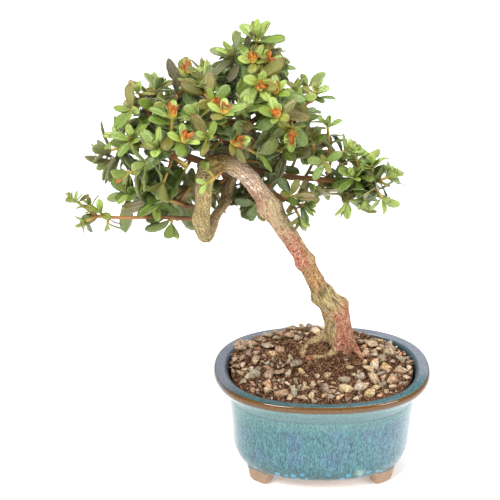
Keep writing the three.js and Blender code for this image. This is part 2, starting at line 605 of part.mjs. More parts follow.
// Sets each leaf at the first tilt that clears the other branches and its own shoot and, where one does,
// the rest of its own branch too. A leaf with no clear place is left out.
function setLeaves(branch, others) {
  const boxed = (solid) => ({ solid, box: solid.boundingBox() });
  const placed = [];
  for (const shoot of branch.plan) {
    const otherTwigs = branch.plan.filter((other) => other !== shoot).map((other) => twigGeometry(other));
    const wood = [...otherTwigs.map(solidFrom), ...branch.limbs.map((limb) => limbTube(limb))];
    const neighbours = [...placed, ...wood.map(boxed)];
    const ownShoot = shoot.hasBud ? [boxed(budSolid(shoot))] : [];
    for (const leaf of shoot.leaves) {
      const clear = leafTilts.filter((tilt) => !crosses(bladeSolid(shoot, leaf, tilt, gap), others)
        && !crosses(bladeSolid(shoot, leaf, tilt), ownShoot));
      const free = clear.find((tilt) => !crosses(bladeSolid(shoot, leaf, tilt), neighbours));
      leaf.tiltChange = free ?? clear[0];
      if (leaf.tiltChange !== undefined) ownShoot.push(boxed(bladeSolid(shoot, leaf, leaf.tiltChange)));
    }
    placed.push(...ownShoot);
  }
  return placed;
}

function makeBranches() {
  let seed = 1000;
  for (const branch of branches) {
    branch.plan = branch.shoots.map((shoot) => readShoot(branch, shoot, seed += 97));
    branch.room = bareWood(branch, gap);
  }
  const trunkRoom = makeTrunk(gap);
  const placed = [];
  return branches.map((branch, number) => {
    const otherWood = branches.filter((other) => other !== branch).map(({ room }) => room);
    const obstacles = [trunkRoom, ...otherWood].map((solid) => ({ solid, box: solid.boundingBox() }));
    placed.push(...setLeaves(branch, [...obstacles, ...placed]));
    const limbs = branch.limbs.map((limb) => limbTube(limb));
    let grown = wasm.Manifold.union([...limbs, ...branch.plan.map(shootSolid)]).subtract(trunkRoom);
    for (const earlier of branches.slice(0, number)) grown = grown.subtract(earlier.room);
    return grown;
  });
}

// ---------------------------------------------------------------- the whole tree in its pot

function buildBonsai() {
  const parts = new THREE.Group();
  const looseStones = makeStones();

  let soil = makeSoilBody().add(makeGrit()).subtract(makeTrunk(gap));
  for (const sideX of [-1, 1]) soil = soil.subtract(screenPlate(sideX, gap));
  for (const stone of looseStones) soil = soil.subtract(stone.hollow);

  parts.add(meshFrom('pot', makePot(), colours.glaze, 0.25));
  parts.add(meshFrom('soil', soil, colours.soil, 0.95));
  parts.add(meshFrom('drain_screen_left', makeScreen(-1), colours.plastic, 0.6));
  parts.add(meshFrom('drain_screen_right', makeScreen(1), colours.plastic, 0.6));
  parts.add(meshFrom('trunk', makeTrunk(), colours.bark, 0.85));
  looseStones.forEach((stone, i) => {
    parts.add(meshFrom(`stone_${String(i + 1).padStart(2, '0')}`, stone.solid, colours.stone, 0.9));
  });
  makeBranches().forEach((solid, i) => {
    const colour = branches[i].name === 'shoot_on_arch' ? colours.paleLeaf : colours.leaf;
    parts.add(meshFrom(branches[i].name, solid, colour, 0.6));
  });

  const box = new THREE.Box3().setFromObject(parts);
  parts.position.set(-(box.min.x + box.max.x) / 2, -(box.min.y + box.max.y) / 2, -box.min.z);
  return parts;
}

export default buildBonsai();
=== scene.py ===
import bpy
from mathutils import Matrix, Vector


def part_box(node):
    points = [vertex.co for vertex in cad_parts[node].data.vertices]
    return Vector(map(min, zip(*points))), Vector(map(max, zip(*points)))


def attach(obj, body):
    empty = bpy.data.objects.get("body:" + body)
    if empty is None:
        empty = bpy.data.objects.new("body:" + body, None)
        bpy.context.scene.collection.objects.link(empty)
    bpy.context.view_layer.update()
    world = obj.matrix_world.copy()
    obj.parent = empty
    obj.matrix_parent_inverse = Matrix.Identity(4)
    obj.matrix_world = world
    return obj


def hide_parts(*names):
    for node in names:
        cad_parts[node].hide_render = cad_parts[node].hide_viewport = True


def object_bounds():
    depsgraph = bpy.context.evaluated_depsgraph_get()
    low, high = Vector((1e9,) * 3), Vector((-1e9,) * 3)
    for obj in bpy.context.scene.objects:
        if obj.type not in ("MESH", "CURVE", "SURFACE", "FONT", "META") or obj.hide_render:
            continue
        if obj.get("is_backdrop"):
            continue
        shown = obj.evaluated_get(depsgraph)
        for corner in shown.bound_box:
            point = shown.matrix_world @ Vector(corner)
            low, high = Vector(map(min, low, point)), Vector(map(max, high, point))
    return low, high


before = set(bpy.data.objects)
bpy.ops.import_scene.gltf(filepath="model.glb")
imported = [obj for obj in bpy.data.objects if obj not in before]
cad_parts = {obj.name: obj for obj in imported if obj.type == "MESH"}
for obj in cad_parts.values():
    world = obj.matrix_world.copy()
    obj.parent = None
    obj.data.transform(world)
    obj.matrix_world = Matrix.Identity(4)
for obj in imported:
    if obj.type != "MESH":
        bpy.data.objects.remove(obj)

# %% [markdown]
# # A satsuki azalea bonsai
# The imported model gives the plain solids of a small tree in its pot: where every limb, shoot and stone
# is, and how big. Each of them now gets a finer piece in the same place. One way would be to sculpt by
# hand; growing the pieces from a few measured lines and rules is chosen, because the same rules made the
# solids, so both always agree.

# %% The frame and its box
import copy
import math
import random

import bmesh
import bpy
from mathutils import Matrix, Vector, noise
from mathutils.kdtree import KDTree


def print_box(title, box):
    print(title, "box in mm:", [[round(1000 * value, 1) for value in corner] for corner in box])


bpy.context.view_layer.update()
cad_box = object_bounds()
print_box("CAD", cad_box)

# %% [markdown]
# ## Working in millimetres from the middle of the pot
# A gardener measures a potted tree from its pot. The row's frame has its origin under the middle of the
# whole tree instead, and is in metres. So every piece is shaped in millimetres from the point on the
# table under the pot's centre, and one matrix carries the finished mesh into the row's frame.

# %% From the pot's frame to the row's frame
pot_low, pot_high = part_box("pot")
pot_middle = (pot_low + pot_high) / 2
pot_foot = Vector((pot_middle.x, pot_middle.y, pot_low.z))
to_row = Matrix.Translation(pot_foot) @ Matrix.Scale(0.001, 4)
from_row = to_row.inverted()
print("point under the pot in the row, mm:", [round(1000 * value, 2) for value in pot_foot])


# %% Helpers for numbers, meshes and objects
def clamp(value):
    """The value, held between 0 and 1."""
    return min(max(value, 0), 1)


def tree_of(points):
    """A search tree that finds the nearest of the points."""
    tree = KDTree(len(points))
    for i, point in enumerate(points):
        tree.insert(point, i)
    tree.balance()
    return tree


def to_mesh(name, bm):
    """Writes the bmesh to a new mesh and frees it."""
    mesh = bpy.data.meshes.new(name)
    bm.to_mesh(mesh)
    bm.free()
    return mesh


def add_object(name, data):
    made = bpy.data.objects.new(name, data)
    bpy.context.scene.collection.objects.link(made)
    return made


def hand_over(name, bm, finishes, slot, *stands_for):
    """Makes the finished bmesh an object at the origin that rides on the body."""
    bmesh.ops.transform(bm, matrix=to_row, verts=bm.verts)
    for face in bm.faces:
        face.smooth = True
    mesh = to_mesh(name, bm)
    for finish in finishes:
        mesh.materials.append(finish)
    piece = add_object(name, mesh)
    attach(piece, "root")
    if stands_for:
        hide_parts(*stands_for)
    print(name, len(mesh.polygons), "faces")


# %% [markdown]
# ## Writing materials as sums
# A material is a tree of nodes. Wiring them one by one hides the idea, so a small class wraps a socket
# and lets Python's own signs build the Math nodes: `1 - mask` or `streak * 0.3 + height` reads like the
# sum that it is. Every other node comes from one method that takes its type, settings and sockets.
# Colours are written as a screen shows them, in red, green and blue from 0 to 255.

# %% A signal that takes part in sums
class Signal:
    """A node's output socket."""

    def __init__(self, shader, socket):
        self.shader = shader
        self.socket = socket

    def sum(self, operation, *values):
        return self.shader.node("ShaderNodeMath", {"operation": operation}, enumerate(values))

    def __add__(self, other):
        return self.sum("ADD", self, other)

    def __mul__(self, other):
        return self.sum("MULTIPLY", self, other)

    def __sub__(self, other):
        return self.sum("SUBTRACT", self, other)

    def __rsub__(self, other):
        return self.sum("SUBTRACT", other, self)

    def __truediv__(self, other):
        return self.sum("DIVIDE", self, other)

    __radd__ = __add__
    __rmul__ = __mul__

    def __abs__(self):
        return self.sum("ABSOLUTE", self)

    def sine(self):
        return self.sum("SINE", self)

    def at_least(self, other):
        return self.sum("MAXIMUM", self, other)

    def fade(self, low, high):
        """0 below low and 1 above high, smoothly. Low may be the higher number, which turns it round."""
        settings = {"interpolation_type": "SMOOTHSTEP"}
        inputs = {"Value": self, "From Min": min(low, high), "From Max": max(low, high)}
        rising = self.shader.node("ShaderNodeMapRange", settings, inputs)
        return 1 - rising if low > high else rising


def tone(red, green, blue):
    """A colour from 0 to 255 on a screen, as the light it stands for."""
    return tuple(((value / 255 + 0.055) / 1.055) ** 2.4 for value in (red, green, blue))


# %% A shader that makes nodes
class Shader:
    """The node tree of one material."""

    def __init__(self, name):
        self.material = bpy.data.materials.new(name)
        self.material.use_nodes = True
        self.tree = self.material.node_tree
        self.tree.nodes.clear()

    def node(self, kind, settings=(), inputs=(), out=0):
        """Makes a node with its settings first, then the values or links of its sockets."""
        made = self.tree.nodes.new(kind)
        for setting, value in dict(settings).items():
            if setting == "stops":
                while len(made.color_ramp.elements) < len(value):
                    made.color_ramp.elements.new(0.5)
                for element, (place, colour) in zip(made.color_ramp.elements, value):
                    element.position, element.color = place, (*tone(*colour), 1)
            else:
                setattr(made, setting, value)
        for socket, value in dict(inputs).items():
            if isinstance(value, Signal):
                self.tree.links.new(value.socket, made.inputs[socket])
            else:
                made.inputs[socket].default_value = value
        return Signal(self, made.outputs[out]) if made.outputs else None

    def coordinates(self):
        return self.node("ShaderNodeTexCoord", out="Object")

    def place(self):
        """Object coordinates in millimetres."""
        return self.stretch(self.coordinates(), (1000, 1000, 1000))

    def stretch(self, vector, scale):
        return self.node("ShaderNodeMapping", {"vector_type": "POINT"}, {"Vector": vector, "Scale": scale})

    def vector(self, operation, first, second=(0, 0, 0), out="Vector"):
        return self.node("ShaderNodeVectorMath", {"operation": operation}, {0: first, 1: second}, out)

    def attribute(self, name, out):
        return self.node("ShaderNodeAttribute", {"attribute_name": name}, out=out)

    def tint(self):
        """The three numbers in a leafy piece's tint: a random one, the age or height, and the bronze. For
        leaves the age carries painted shade as well.
        """
        colour = self.attribute("tint", "Color")
        return [self.node("ShaderNodeSeparateColor", (), {0: colour}, out=i) for i in range(3)]

    def noise(self, vector, scale, detail=3, roughness=0.5):
        """Noise of one scale, or of a scale for each direction."""
        if isinstance(scale, tuple):
            vector, scale = self.stretch(vector, scale), 1.0
        inputs = {"Vector": vector, "Scale": scale, "Detail": detail, "Roughness": roughness}
        return self.node("ShaderNodeTexNoise", (), inputs)

    def cells(self, vector, scale, feature="F1", out="Distance"):
        inputs = {"Vector": vector, "Scale": scale}
        return self.node("ShaderNodeTexVoronoi", {"feature": feature}, inputs, out)

    def cell_chance(self, vector, channel=0):
        """A random number for each cell of scale 1."""
        return self.split(self.cells(vector, 1.0, out="Color"))[channel]

    def split(self, vector):
        return [self.node("ShaderNodeSeparateXYZ", (), {0: vector}, out=i) for i in range(3)]

    def mix(self, share, first, second, way="MIX"):
        """Two colours, by a share from 0 to 1."""
        colours = [value if isinstance(value, Signal) else (*tone(*value), 1) for value in (first, second)]
        settings = {"data_type": "RGBA", "blend_type": way}
        return self.node("ShaderNodeMix", settings, {0: share, 6: colours[0], 7: colours[1]}, out=2)

    def shades(self, signal, limits, dark, light):
        """From dark to light as the signal rises between its limits."""
        return self.mix(signal.fade(*limits), dark, light)

    def layers(self, base, *layers):
        """The base with colours laid over it one by one, each by its own share."""
        for share, colour in layers:
            base = self.mix(share, base, colour)
        return base

    def ramp(self, share, *stops):
        return self.node("ShaderNodeValToRGB", {"stops": stops}, {0: share})

    def bump(self, height, distance, strength=1.0):
        inputs = {"Height": height, "Distance": distance / 1000, "Strength": strength}
        return self.node("ShaderNodeBump", (), inputs)

    def finish(self, **sockets):
        """Ends the tree in a Principled shader and returns the material."""
        inputs = {name.replace("_", " "): value for name, value in sockets.items()}
        surface = self.node("ShaderNodeBsdfPrincipled", (), inputs)
        self.node("ShaderNodeOutputMaterial", (), {"Surface": surface})
        print("finish:", self.material.name, len(self.tree.nodes), "nodes")
        return self.material


# %% [markdown]
# ## Shapes along a line
# Trunk, roots, limbs and twigs are all tubes that follow a bent line. A curve object with a bevel could
# make them, but it gives no say over single rings. Here an upright cylinder is cut into rings once, as
# a template, and each copy's rings are carried along a smooth line through a few measured points.

# %% Smooth lines
def smooth_line(points, steps):
    """Points on a smooth curve through the given ones, with any further values, such as a radius."""
    last = len(points) - 1
    line = []
    for step in range(steps + 1):
        along = step * last / steps
        i = min(int(along), last - 1)
        t = along - i
        before, here, there, after = (points[min(max(i + k, 0), last)] for k in (-1, 0, 1, 2))
        line.append([
            0.5 * (2 * b + (c - a) * t + (2 * a - 5 * b + 4 * c - d) * t ** 2
                   + (3 * b - a - 3 * c + d) * t ** 3)
            for a, b, c, d in zip(before, here, there, after)])
    return line


def ring_frames(line):
    """At each point of a line: the point, two directions across the line, and its radius."""
    points = [Vector(values[:3]) for values in line]
    across = Vector((0, 1, 0))
    frames = []
    for i, point in enumerate(points):
        ahead = (points[min(i + 1, len(points) - 1)] - points[max(i - 1, 0)]).normalized()
        across = (across - ahead * across.dot(ahead)).normalized()
        frames.append((point, across, ahead.cross(across), line[i][3]))
    return frames


print("a smooth line through three points:", smooth_line([[0, 0], [1, 2], [3, 3]], 2))


# %% Templates, and stamping them
def stamp(bm, template, place, finish=0):
    """Adds a copy of a template to the bmesh, each point moved to the place that a function gives."""
    verts_before, faces_before = len(bm.verts), len(bm.faces)
    bm.from_mesh(template)
    bm.verts.ensure_lookup_table()
    bm.faces.ensure_lookup_table()
    fresh = bm.verts[verts_before:]
    for vert in fresh:
        vert.co = place(vert.co)
    for face in bm.faces[faces_before:]:
        face.material_index = finish
    return fresh


def paint(bm, verts, layer, colour):
    """Writes a colour attribute. The colour may be a function of the place."""
    layer = bm.verts.layers.float_color[layer]
    for vert in verts:
        vert[layer] = (*(colour(vert.co) if callable(colour) else colour), 1)


tubes = {}


def tube_template(sides, rings):
    """An upright closed cylinder of radius and height 1, cut into rings."""
    if (sides, rings) not in tubes:
        bm = bmesh.new()
        bmesh.ops.create_cone(bm, cap_ends=True, segments=sides, radius1=1, radius2=1, depth=1)
        bmesh.ops.translate(bm, verts=bm.verts, vec=(0, 0, 0.5))
        upright = [edge for edge in bm.edges if abs(edge.verts[0].co.z - edge.verts[1].co.z) > 0.5]
        bmesh.ops.subdivide_edges(bm, edges=upright, cuts=rings - 2)
        tubes[sides, rings] = to_mesh("tube_template", bm)
    return tubes[sides, rings]


def stamp_tube(bm, line, sides, finish=0, swell=lambda place: 0):
    """A tube along a line of [x, y, z, radius]. Swell gives what the radius gains at a place."""
    frames = ring_frames(line)

    def place(co):
        middle, across, aside, radius = frames[round(co.z * (len(frames) - 1))]
        outward = across * co.x + aside * co.y
        skin = middle + outward * radius
        return skin + outward * swell(skin)

    return stamp(bm, tube_template(sides, len(frames)), place, finish)


# %% [markdown]
# ## The pot
# The real pot is stoneware: an oval bowl with a flat rim that overhangs, a hollow under it, a rounded
# belly and four bracket feet. A potter turns it, so it is spun here as well: a profile of a few measured
# points is smoothed, spun once round and squeezed to an oval. The feet are pressed blocks, joined by a
# Boolean, as a potter joins them with slip.

# %% The pot's measures
pot_depth_ratio = 0.75                # depth of the oval over its width
corner_fullness = 0.05                # how much further out than an ellipse the oval runs at its corners
foot_height = 8
pot_floor = 14
pot_steps = 144                       # points round the pot
wall_radius, wall_top = 50, 61        # the outer wall lies outside this radius and below this height
wall_height = 58
glaze_edge = 11.3                     # height of the glaze's lower edge on the belly
glaze_depth, pool_depth = 0.28, 0.22  # how thick the glaze lies, and how much thicker where it pooled
glaze_start, pool_height = 1.2, 2.2   # over its edge: where it has its full depth, and where it pooled
wall_wave = 0.35

belly = [[48, 8], [51.8, 9.3], [56, 12], [59, 16.3], [61, 22.5], [61.9, 33], [62.8, 45], [63.8, 55],
         [64.3, 60.4]]
rim = [[64.5, 61.6], [65.5, 63.5], [68.3, 66.7], [71.4, 70.2], [73.5, 72.9], [74.3, 75.2], [73.8, 77.2],
       [72.4, 78.1], [69, 78.2], [66, 77.8], [64.4, 76.7], [63.8, 74.6]]
inner_wall = [[62.2, 69], [60, 60], [57.6, 47], [56.2, 26], [54, 19], [49, 14.4]]

profile = smooth_line(belly, 60) + smooth_line(rim, 48) + smooth_line(inner_wall, 20)
print("profile:", len(profile), "points")


# %% Spinning, and the oval
def spin(bm, outline, steps):
    """Turns an outline of (radius, height) once round the pot's axis."""
    verts = [bm.verts.new((radius, 0, height)) for radius, height in outline]
    edges = [bm.edges.new(pair) for pair in zip(verts, verts[1:])]
    bmesh.ops.spin(bm, geom=verts + edges, cent=(0, 0, 0), axis=(0, 0, 1), angle=math.tau, steps=steps,
                   use_merge=True)
    bmesh.ops.remove_doubles(bm, verts=bm.verts, dist=0.001)
    bmesh.ops.recalc_face_normals(bm, faces=bm.faces)


def fullness_at(angle):
    """How much further out than an ellipse the oval runs in a direction."""
    return 1 + corner_fullness * math.sin(2 * angle) ** 2


def squeeze(bm):
    """Makes the pot's oval from what was spun round."""
    for vert in bm.verts:
        fuller = fullness_at(math.atan2(vert.co.y, vert.co.x))
        vert.co = Vector((vert.co.x * fuller, vert.co.y * fuller * pot_depth_ratio, vert.co.z))


# %% Glaze lies on the clay as a thin skin
def glaze_line(angle):
    """The height where the glaze ends, which wanders round the pot."""
    around = Vector((math.cos(angle), math.sin(angle), 0))
    return glaze_edge + 0.9 * noise.noise(around * 3) + 0.7 * noise.noise(around * 9 + Vector((4, 0, 0)))


def glaze_skin(angle, height):
    """What the glaze adds: a thin skin, a thick lower edge, and the soft waves of the wall."""
    over_edge = height - glaze_line(angle)
    glazed = clamp(over_edge / glaze_start)
    pooled = math.exp(-((over_edge - pool_height) / pool_height) ** 2)
    share = clamp((height - foot_height) / wall_height)
    wave = math.cos(4 * angle + math.pi) * math.sin(math.pi * share)
    return glaze_depth * glazed + pool_depth * pooled + wall_wave * wave


def spin_pot():
    bm = bmesh.new()
    spin(bm, [(0, foot_height), *profile, (0, pot_floor)], pot_steps)
    for vert in bm.verts:
        radius = math.hypot(vert.co.x, vert.co.y)
        if radius > wall_radius and vert.co.z < wall_top:
            grow = 1 + glaze_skin(math.atan2(vert.co.y, vert.co.x), vert.co.z) / radius
            vert.co.x *= grow
            vert.co.y *= grow
    squeeze(bm)
    return bm


# %% Modifiers on a bmesh
def loose_object(name, bm):
    bmesh.ops.recalc_face_normals(bm, faces=bm.faces)
    return add_object(name, to_mesh(name, bm))


def modified(bm, kind, **settings):
    """What a modifier makes of a bmesh, which is used up."""
    rough = loose_object("rough", bm)
    step = rough.modifiers.new(kind, kind)
    for setting, value in settings.items():
        setattr(step, setting, value)
    bpy.context.view_layer.update()
    result = bmesh.new()
    result.from_mesh(rough.evaluated_get(bpy.context.evaluated_depsgraph_get()).data)
    bpy.data.objects.remove(rough)
    return result


def joined_or_cut(body, tool, operation):
    """The body after a Boolean with the tool. Both are bmeshes and are used up."""
    tool = loose_object("tool", tool)
    result = modified(body, "BOOLEAN", object=tool, operation=operation, solver="EXACT")
    bpy.data.objects.remove(tool)
    return result


# %% The feet and the drain holes
foot_widths, foot_depths = (14.5, 21.5), (9.5, 12.5)      # where a foot stands, and at its upper end
foot_block = 18                       # height of the whole block, most of it inside the belly
foot_place, foot_turn, foot_shift = (44.5, 29, 0), -35, -5.5
hole_radius, hole_place = 5.5, 24


def press_foot(bm, side_x, side_y):
    """A bracket foot under the belly: wide above, narrower where it stands."""
    made = bmesh.ops.create_cube(bm, size=1)["verts"]
    bmesh.ops.translate(bm, verts=made, vec=(0, 0, 0.5))
    for vert in made:
        width, depth = (low + (high - low) * vert.co.z for low, high in (foot_widths, foot_depths))
        vert.co = Vector((vert.co.x * width, vert.co.y * depth + foot_shift, vert.co.z * foot_block))
    edges = {edge for vert in made for edge in vert.link_edges
             if min(v.co.z for v in edge.verts) < foot_block - 1}
    rounded = bmesh.ops.bevel(bm, geom=list(edges), offset=4, segments=6, profile=0.5, affect="EDGES",
                              material=-1)
    verts = {vert for face in rounded["faces"] for vert in face.verts} | {v for v in made if v.is_valid}
    turn = Matrix.Translation(foot_place) @ Matrix.Rotation(math.radians(foot_turn), 4, "Z")
    mirror = Matrix.Diagonal((side_x, side_y, 1, 1))
    bmesh.ops.transform(bm, matrix=mirror @ turn, verts=list(verts))


feet, holes = bmesh.new(), bmesh.new()
for side_x in (-1, 1):
    for side_y in (-1, 1):
        press_foot(feet, side_x, side_y)
    hole = bmesh.ops.create_cone(holes, cap_ends=True, segments=32, radius1=hole_radius,
                                 radius2=hole_radius, depth=16)
    bmesh.ops.translate(holes, verts=hole["verts"], vec=(hole_place * side_x, 0, 10))
pot_shape = joined_or_cut(joined_or_cut(spin_pot(), feet, "UNION"), holes, "DIFFERENCE")
print("pot with feet and drain holes:", len(pot_shape.faces), "faces")

# %% [markdown]
# ## The glaze
# A streaky blue glaze ran down the pot in the kiln: lavender where it is thin, teal where it pooled, pale
# drops at the lower edge, and brown along the rim, where it slid off and the iron in the clay shows. The
# foot and the underside are bare clay. All of this follows height and direction, so object coordinates
# are enough: noise that is stretched far down the pot makes the runs.

# %% Glaze and bare clay
def make_glaze():
    shader = Shader("glaze")
    position = shader.stretch(shader.vector("SUBTRACT", shader.coordinates(), pot_foot), (1000, 1000, 1000))
    x, y, z = shader.split(position)
    reach = shader.vector("LENGTH", shader.stretch(position, (1, 1 / pot_depth_ratio, 0)), out="Value")
    corner = x * y * (2 / pot_depth_ratio) / (reach * reach)
    radius = reach / (corner * corner * corner_fullness + 1)

    # The wall: teal streaks, lavender where the glaze is thin, darker towards the bottom, painted shade in
    # the groove.
    grain = shader.noise(position, (1.5, 1.5, 0.42), 2, 0.6)
    streak = shader.noise(position, (0.6, 0.6, 0.1), 3, 0.6) * 0.3 + grain * 0.7
    broad = shader.noise(position, (0.06, 0.06, 0.05), 2)
    speckle = shader.noise(position, 1.3, 2, 0.7)
    height = z + 14 * (streak - 0.5)
    thin = (broad.fade(0.4, 0.6) * 0.8).at_least(x.fade(12, 44) * 0.5) * height.fade(15, 30)
    teal = shader.shades(streak, (0.34, 0.66), (0, 48, 64), (72, 138, 142))
    lavender = shader.shades(streak, (0.34, 0.66), (8, 56, 84), (86, 130, 150))
    shoulder = shader.shades(speckle, (0.4, 0.6), (8, 74, 84), (112, 160, 148))
    # Painted shade: a dull grey-teal band in the groove where the belly meets the rim's underside.
    groove_shade = z.fade(60, 61.4) * z.fade(64, 62.4)

    # Drops along the lower edge, and one large pale spot.
    drop_place = shader.stretch(position, (0.22, 0.22, 0.19))
    shown = shader.cell_chance(drop_place).fade(0.25, 0.3)
    drop = shader.cells(drop_place, 1.0).fade(0.46, 0.36) * shown * z.fade(21, 17) * z.fade(11.5, 13.5)
    away = shader.vector("DISTANCE", position, (25, -39, 19), "Value")
    spot = (away + 8 * (speckle - 0.5)).fade(6, 1.5)

    # The rim: greyish at the sides, teal in front, a brown band of iron along its edge, and painted shade on
    # the inner wall.
    front = (y - 0.12 * x).fade(-12, -34)
    side = shader.shades(speckle, (0.3, 0.7), (92, 102, 116), (134, 140, 150))
    top = shader.shades(speckle, (0.38, 0.62), (6, 44, 58), (70, 124, 128))
    # Painted shade: the inner wall under the rim is darkened to a deep teal.
    inside = radius.fade(67.5, 65.5) * z.fade(62, 70)
    brown = (radius + 1.2 * (speckle - 0.5)).fade(72.4, 73) * (z + 0.8 * speckle).fade(73.4, 74.2)
    band = brown * (0.45 + front * 0.55)
    iron = shader.shades(speckle, (0.3, 0.7), (66, 40, 0), (118, 76, 8))
    glaze = shader.layers(
        teal, (thin, lavender), (height.fade(26, 12) * 0.85, (0, 64, 66)), (z.fade(50, 60) * 0.65, shoulder),
        (groove_shade * 0.5, (62, 90, 98)), (drop * 0.85, (64, 148, 180)), (spot * 0.85, (176, 198, 180)),
        (z.fade(75.4, 76.8), shader.mix(front, side, top)), (inside * 0.85, (8, 50, 60)), (band, iron))

    # Bare clay below the glaze's wandering edge and under the pot.
    wander = shader.noise(position, (0.09, 0.09, 0), 3) - 0.5
    bare = (z - 11.1 - 2.4 * wander).fade(0.4, -0.4).at_least(radius.fade(50, 47) * z.fade(30, 24))
    grit = shader.noise(position, 1.6, 4, 0.7)
    clay = shader.shades(grit, (0.3, 0.7), (138, 108, 84), (188, 160, 134))
    dips = shader.noise(position, 0.35, 2) * 0.5 + grain * 0.08
    relief = shader.bump(dips * (1 - bare) * (1 - band) + grit * bare * 0.5, 0.35, 0.6)
    return shader.finish(
        Base_Color=shader.mix(bare, glaze, clay), Roughness=bare * 0.55 - band * 0.14 + 0.28,
        Coat_Weight=(1 - bare) * 0.7 - band * 0.3, Coat_Roughness=0.05, Normal=relief)


hand_over("glazed_pot", pot_shape, [make_glaze()], "glaze", "pot")

# %% [markdown]
# ## The soil
# The tree grows in dark fibrous peat that is heaped up at the roots. A flat noise texture looks like a
# carpet from the side, so the ground is a spun disc whose points are raised: the mound first, then
# clods, then fibres. It follows the same heights as the solid, so the stones rest on it.

# %% Heights of the ground
soil_radius, soil_level = 62.4, 75.5
soil_rings, soil_steps = 62, 330
soil_side = [(62.2, 73.5), (60.6, 66), (56.9, 50), (55.4, 24), (48.5, 14.6), (0, 14.6)]
mounds = [(-10, 18, 8.5, 30), (7, 10, 6.5, 14), (-57, 14, 3, 7)]      # x, y, height, spread


def soil_height(x, y):
    ripples = 0.7 * math.sin(x / 5.3 + 1) * math.cos(y / 4.1) + 0.5 * math.sin((x + 2 * y) / 7.7)
    heaped = sum(height * math.exp(-(math.hypot(x - a, y - b) / spread) ** 2 / 2)
                 for a, b, height, spread in mounds)
    return soil_level + ripples + heaped


def clods(x, y):
    """Height of the lumps on the ground."""
    here = Vector((x, y, 0))
    crumbs = abs(noise.noise(here * 0.9 + Vector((7, 3, 1))))
    return 1.3 * noise.fractal(here * 0.21, 1.0, 2.1, 3) + 0.9 * crumbs


def spin_soil():
    bm = bmesh.new()
    spin(bm, [(soil_radius * i / soil_rings, soil_level) for i in range(soil_rings + 1)] + soil_side,
         soil_steps)
    reaches = {vert: math.hypot(vert.co.x, vert.co.y) for vert in bm.verts}
    squeeze(bm)
    for vert, reach in reaches.items():
        if vert.co.z > soil_level - 0.01:
            rough = clods(vert.co.x, vert.co.y) * clamp((soil_radius - reach) / 3)
            vert.co.z = soil_height(vert.co.x, vert.co.y) + rough
    return bm


# %% Peat
def make_peat():
    shader = Shader("peat")
    position = shader.place()
    lumps = shader.noise(position, 0.35, 4, 0.65)
    threads = shader.noise(shader.stretch(position, (0.9, 0.4, 0.6)), 1.1, 3, 0.7)
    colour = shader.ramp(
        lumps * 0.4 + threads * 0.6, (0.38, (26, 14, 10)), (0.46, (72, 46, 32)),
        (0.54, (120, 82, 58)), (0.62, (182, 140, 102)))
    relief = shader.bump(threads * 0.7 + shader.cells(position, 0.9) * 0.5, 0.9, 0.9)
    return shader.finish(Base_Color=colour, Roughness=0.94, Normal=relief, Specular_IOR_Level=0.25)


peat = make_peat()
hand_over("peat_soil", spin_soil(), [peat], "peat", "soil")

# %% [markdown]
# ## Stones and gravel
# Broken tan, yellow and grey stones lie on the peat, thick along the wall and thin at the trunk. A real
# stone has flat broken faces with softened edges. Displaced spheres look like potatoes, so each stone is
# the convex hull of a few random points, with its edges bevelled. The small ones share a few templates.

# %% Stone shapes
seeds = {"stones": 500, "gravel shapes": 70, "gravel": 21, "crumb shape": 90, "crumbs": 22}
stone_corners, pebble_corners = 13, 9
stone_bevel = 0.07


def broken_stone(seed, corners, bevel, subdivisions=0):
    """A stone of radius about 1: the hull of some random points with softened edges."""
    dice = random.Random(seed)
    bm = bmesh.new()
    for _ in range(corners):
        direction = Vector((dice.gauss(0, 1), dice.gauss(0, 1), dice.gauss(0, 1))).normalized()
        bm.verts.new(direction * dice.uniform(0.86, 1.12))
    hull = bmesh.ops.convex_hull(bm, input=bm.verts)
    loose = {item for item in hull["geom_interior"] + hull["geom_unused"]
             if isinstance(item, bmesh.types.BMVert)}
    bmesh.ops.delete(bm, geom=list(loose), context="VERTS")
    bmesh.ops.dissolve_limit(bm, angle_limit=math.radians(14), verts=bm.verts, edges=bm.edges)
    if bevel:
        bmesh.ops.bevel(bm, geom=bm.edges[:], offset=bevel, segments=1, profile=0.5, affect="EDGES",
                        material=-1)
    if subdivisions:
        bmesh.ops.triangulate(bm, faces=bm.faces)
        bmesh.ops.subdivide_edges(bm, edges=bm.edges[:], cuts=subdivisions, use_grid_fill=True)
    bmesh.ops.recalc_face_normals(bm, faces=bm.faces)
    return bm


def stone_place(x, y, height, sizes, turn, lean=0.0):
    """The matrix that sets a stone of radius 1 on the ground."""
    turned = Matrix.Rotation(turn, 4, "Z") @ Matrix.Rotation(lean, 4, "X")
    return Matrix.Translation((x, y, height)) @ turned @ Matrix.Diagonal((*sizes, 1))


# %% One finish for all stones
def make_rock():
    """Each stone's own colour is in a point attribute."""
    shader = Shader("stone")
    own = shader.attribute("stone_colour", "Color")
    position = shader.place()
    cloud = shader.noise(position, 0.55, 4, 0.75)
    grain = shader.noise(position, 1.5, 3, 0.8)
    pits = shader.cells(position, 0.8)
    dark = shader.mix(1.0, own, (178, 146, 118), "MULTIPLY")
    pale = shader.mix(0.4, own, (240, 226, 198))
    colour = shader.shades(cloud * 0.6 + grain * 0.4, (0.4, 0.6), dark, pale)
    colour = shader.mix(pits.fade(0.3, 0.15) * grain.fade(0.45, 0.6) * 0.6, colour, (82, 56, 40))
    relief = shader.bump(cloud * 0.7 + grain * 0.4 - pits.fade(0.3, 0.1) * 0.3, 0.7, 0.9)
    return shader.finish(Base_Color=colour, Roughness=0.88, Normal=relief)


rock = make_rock()

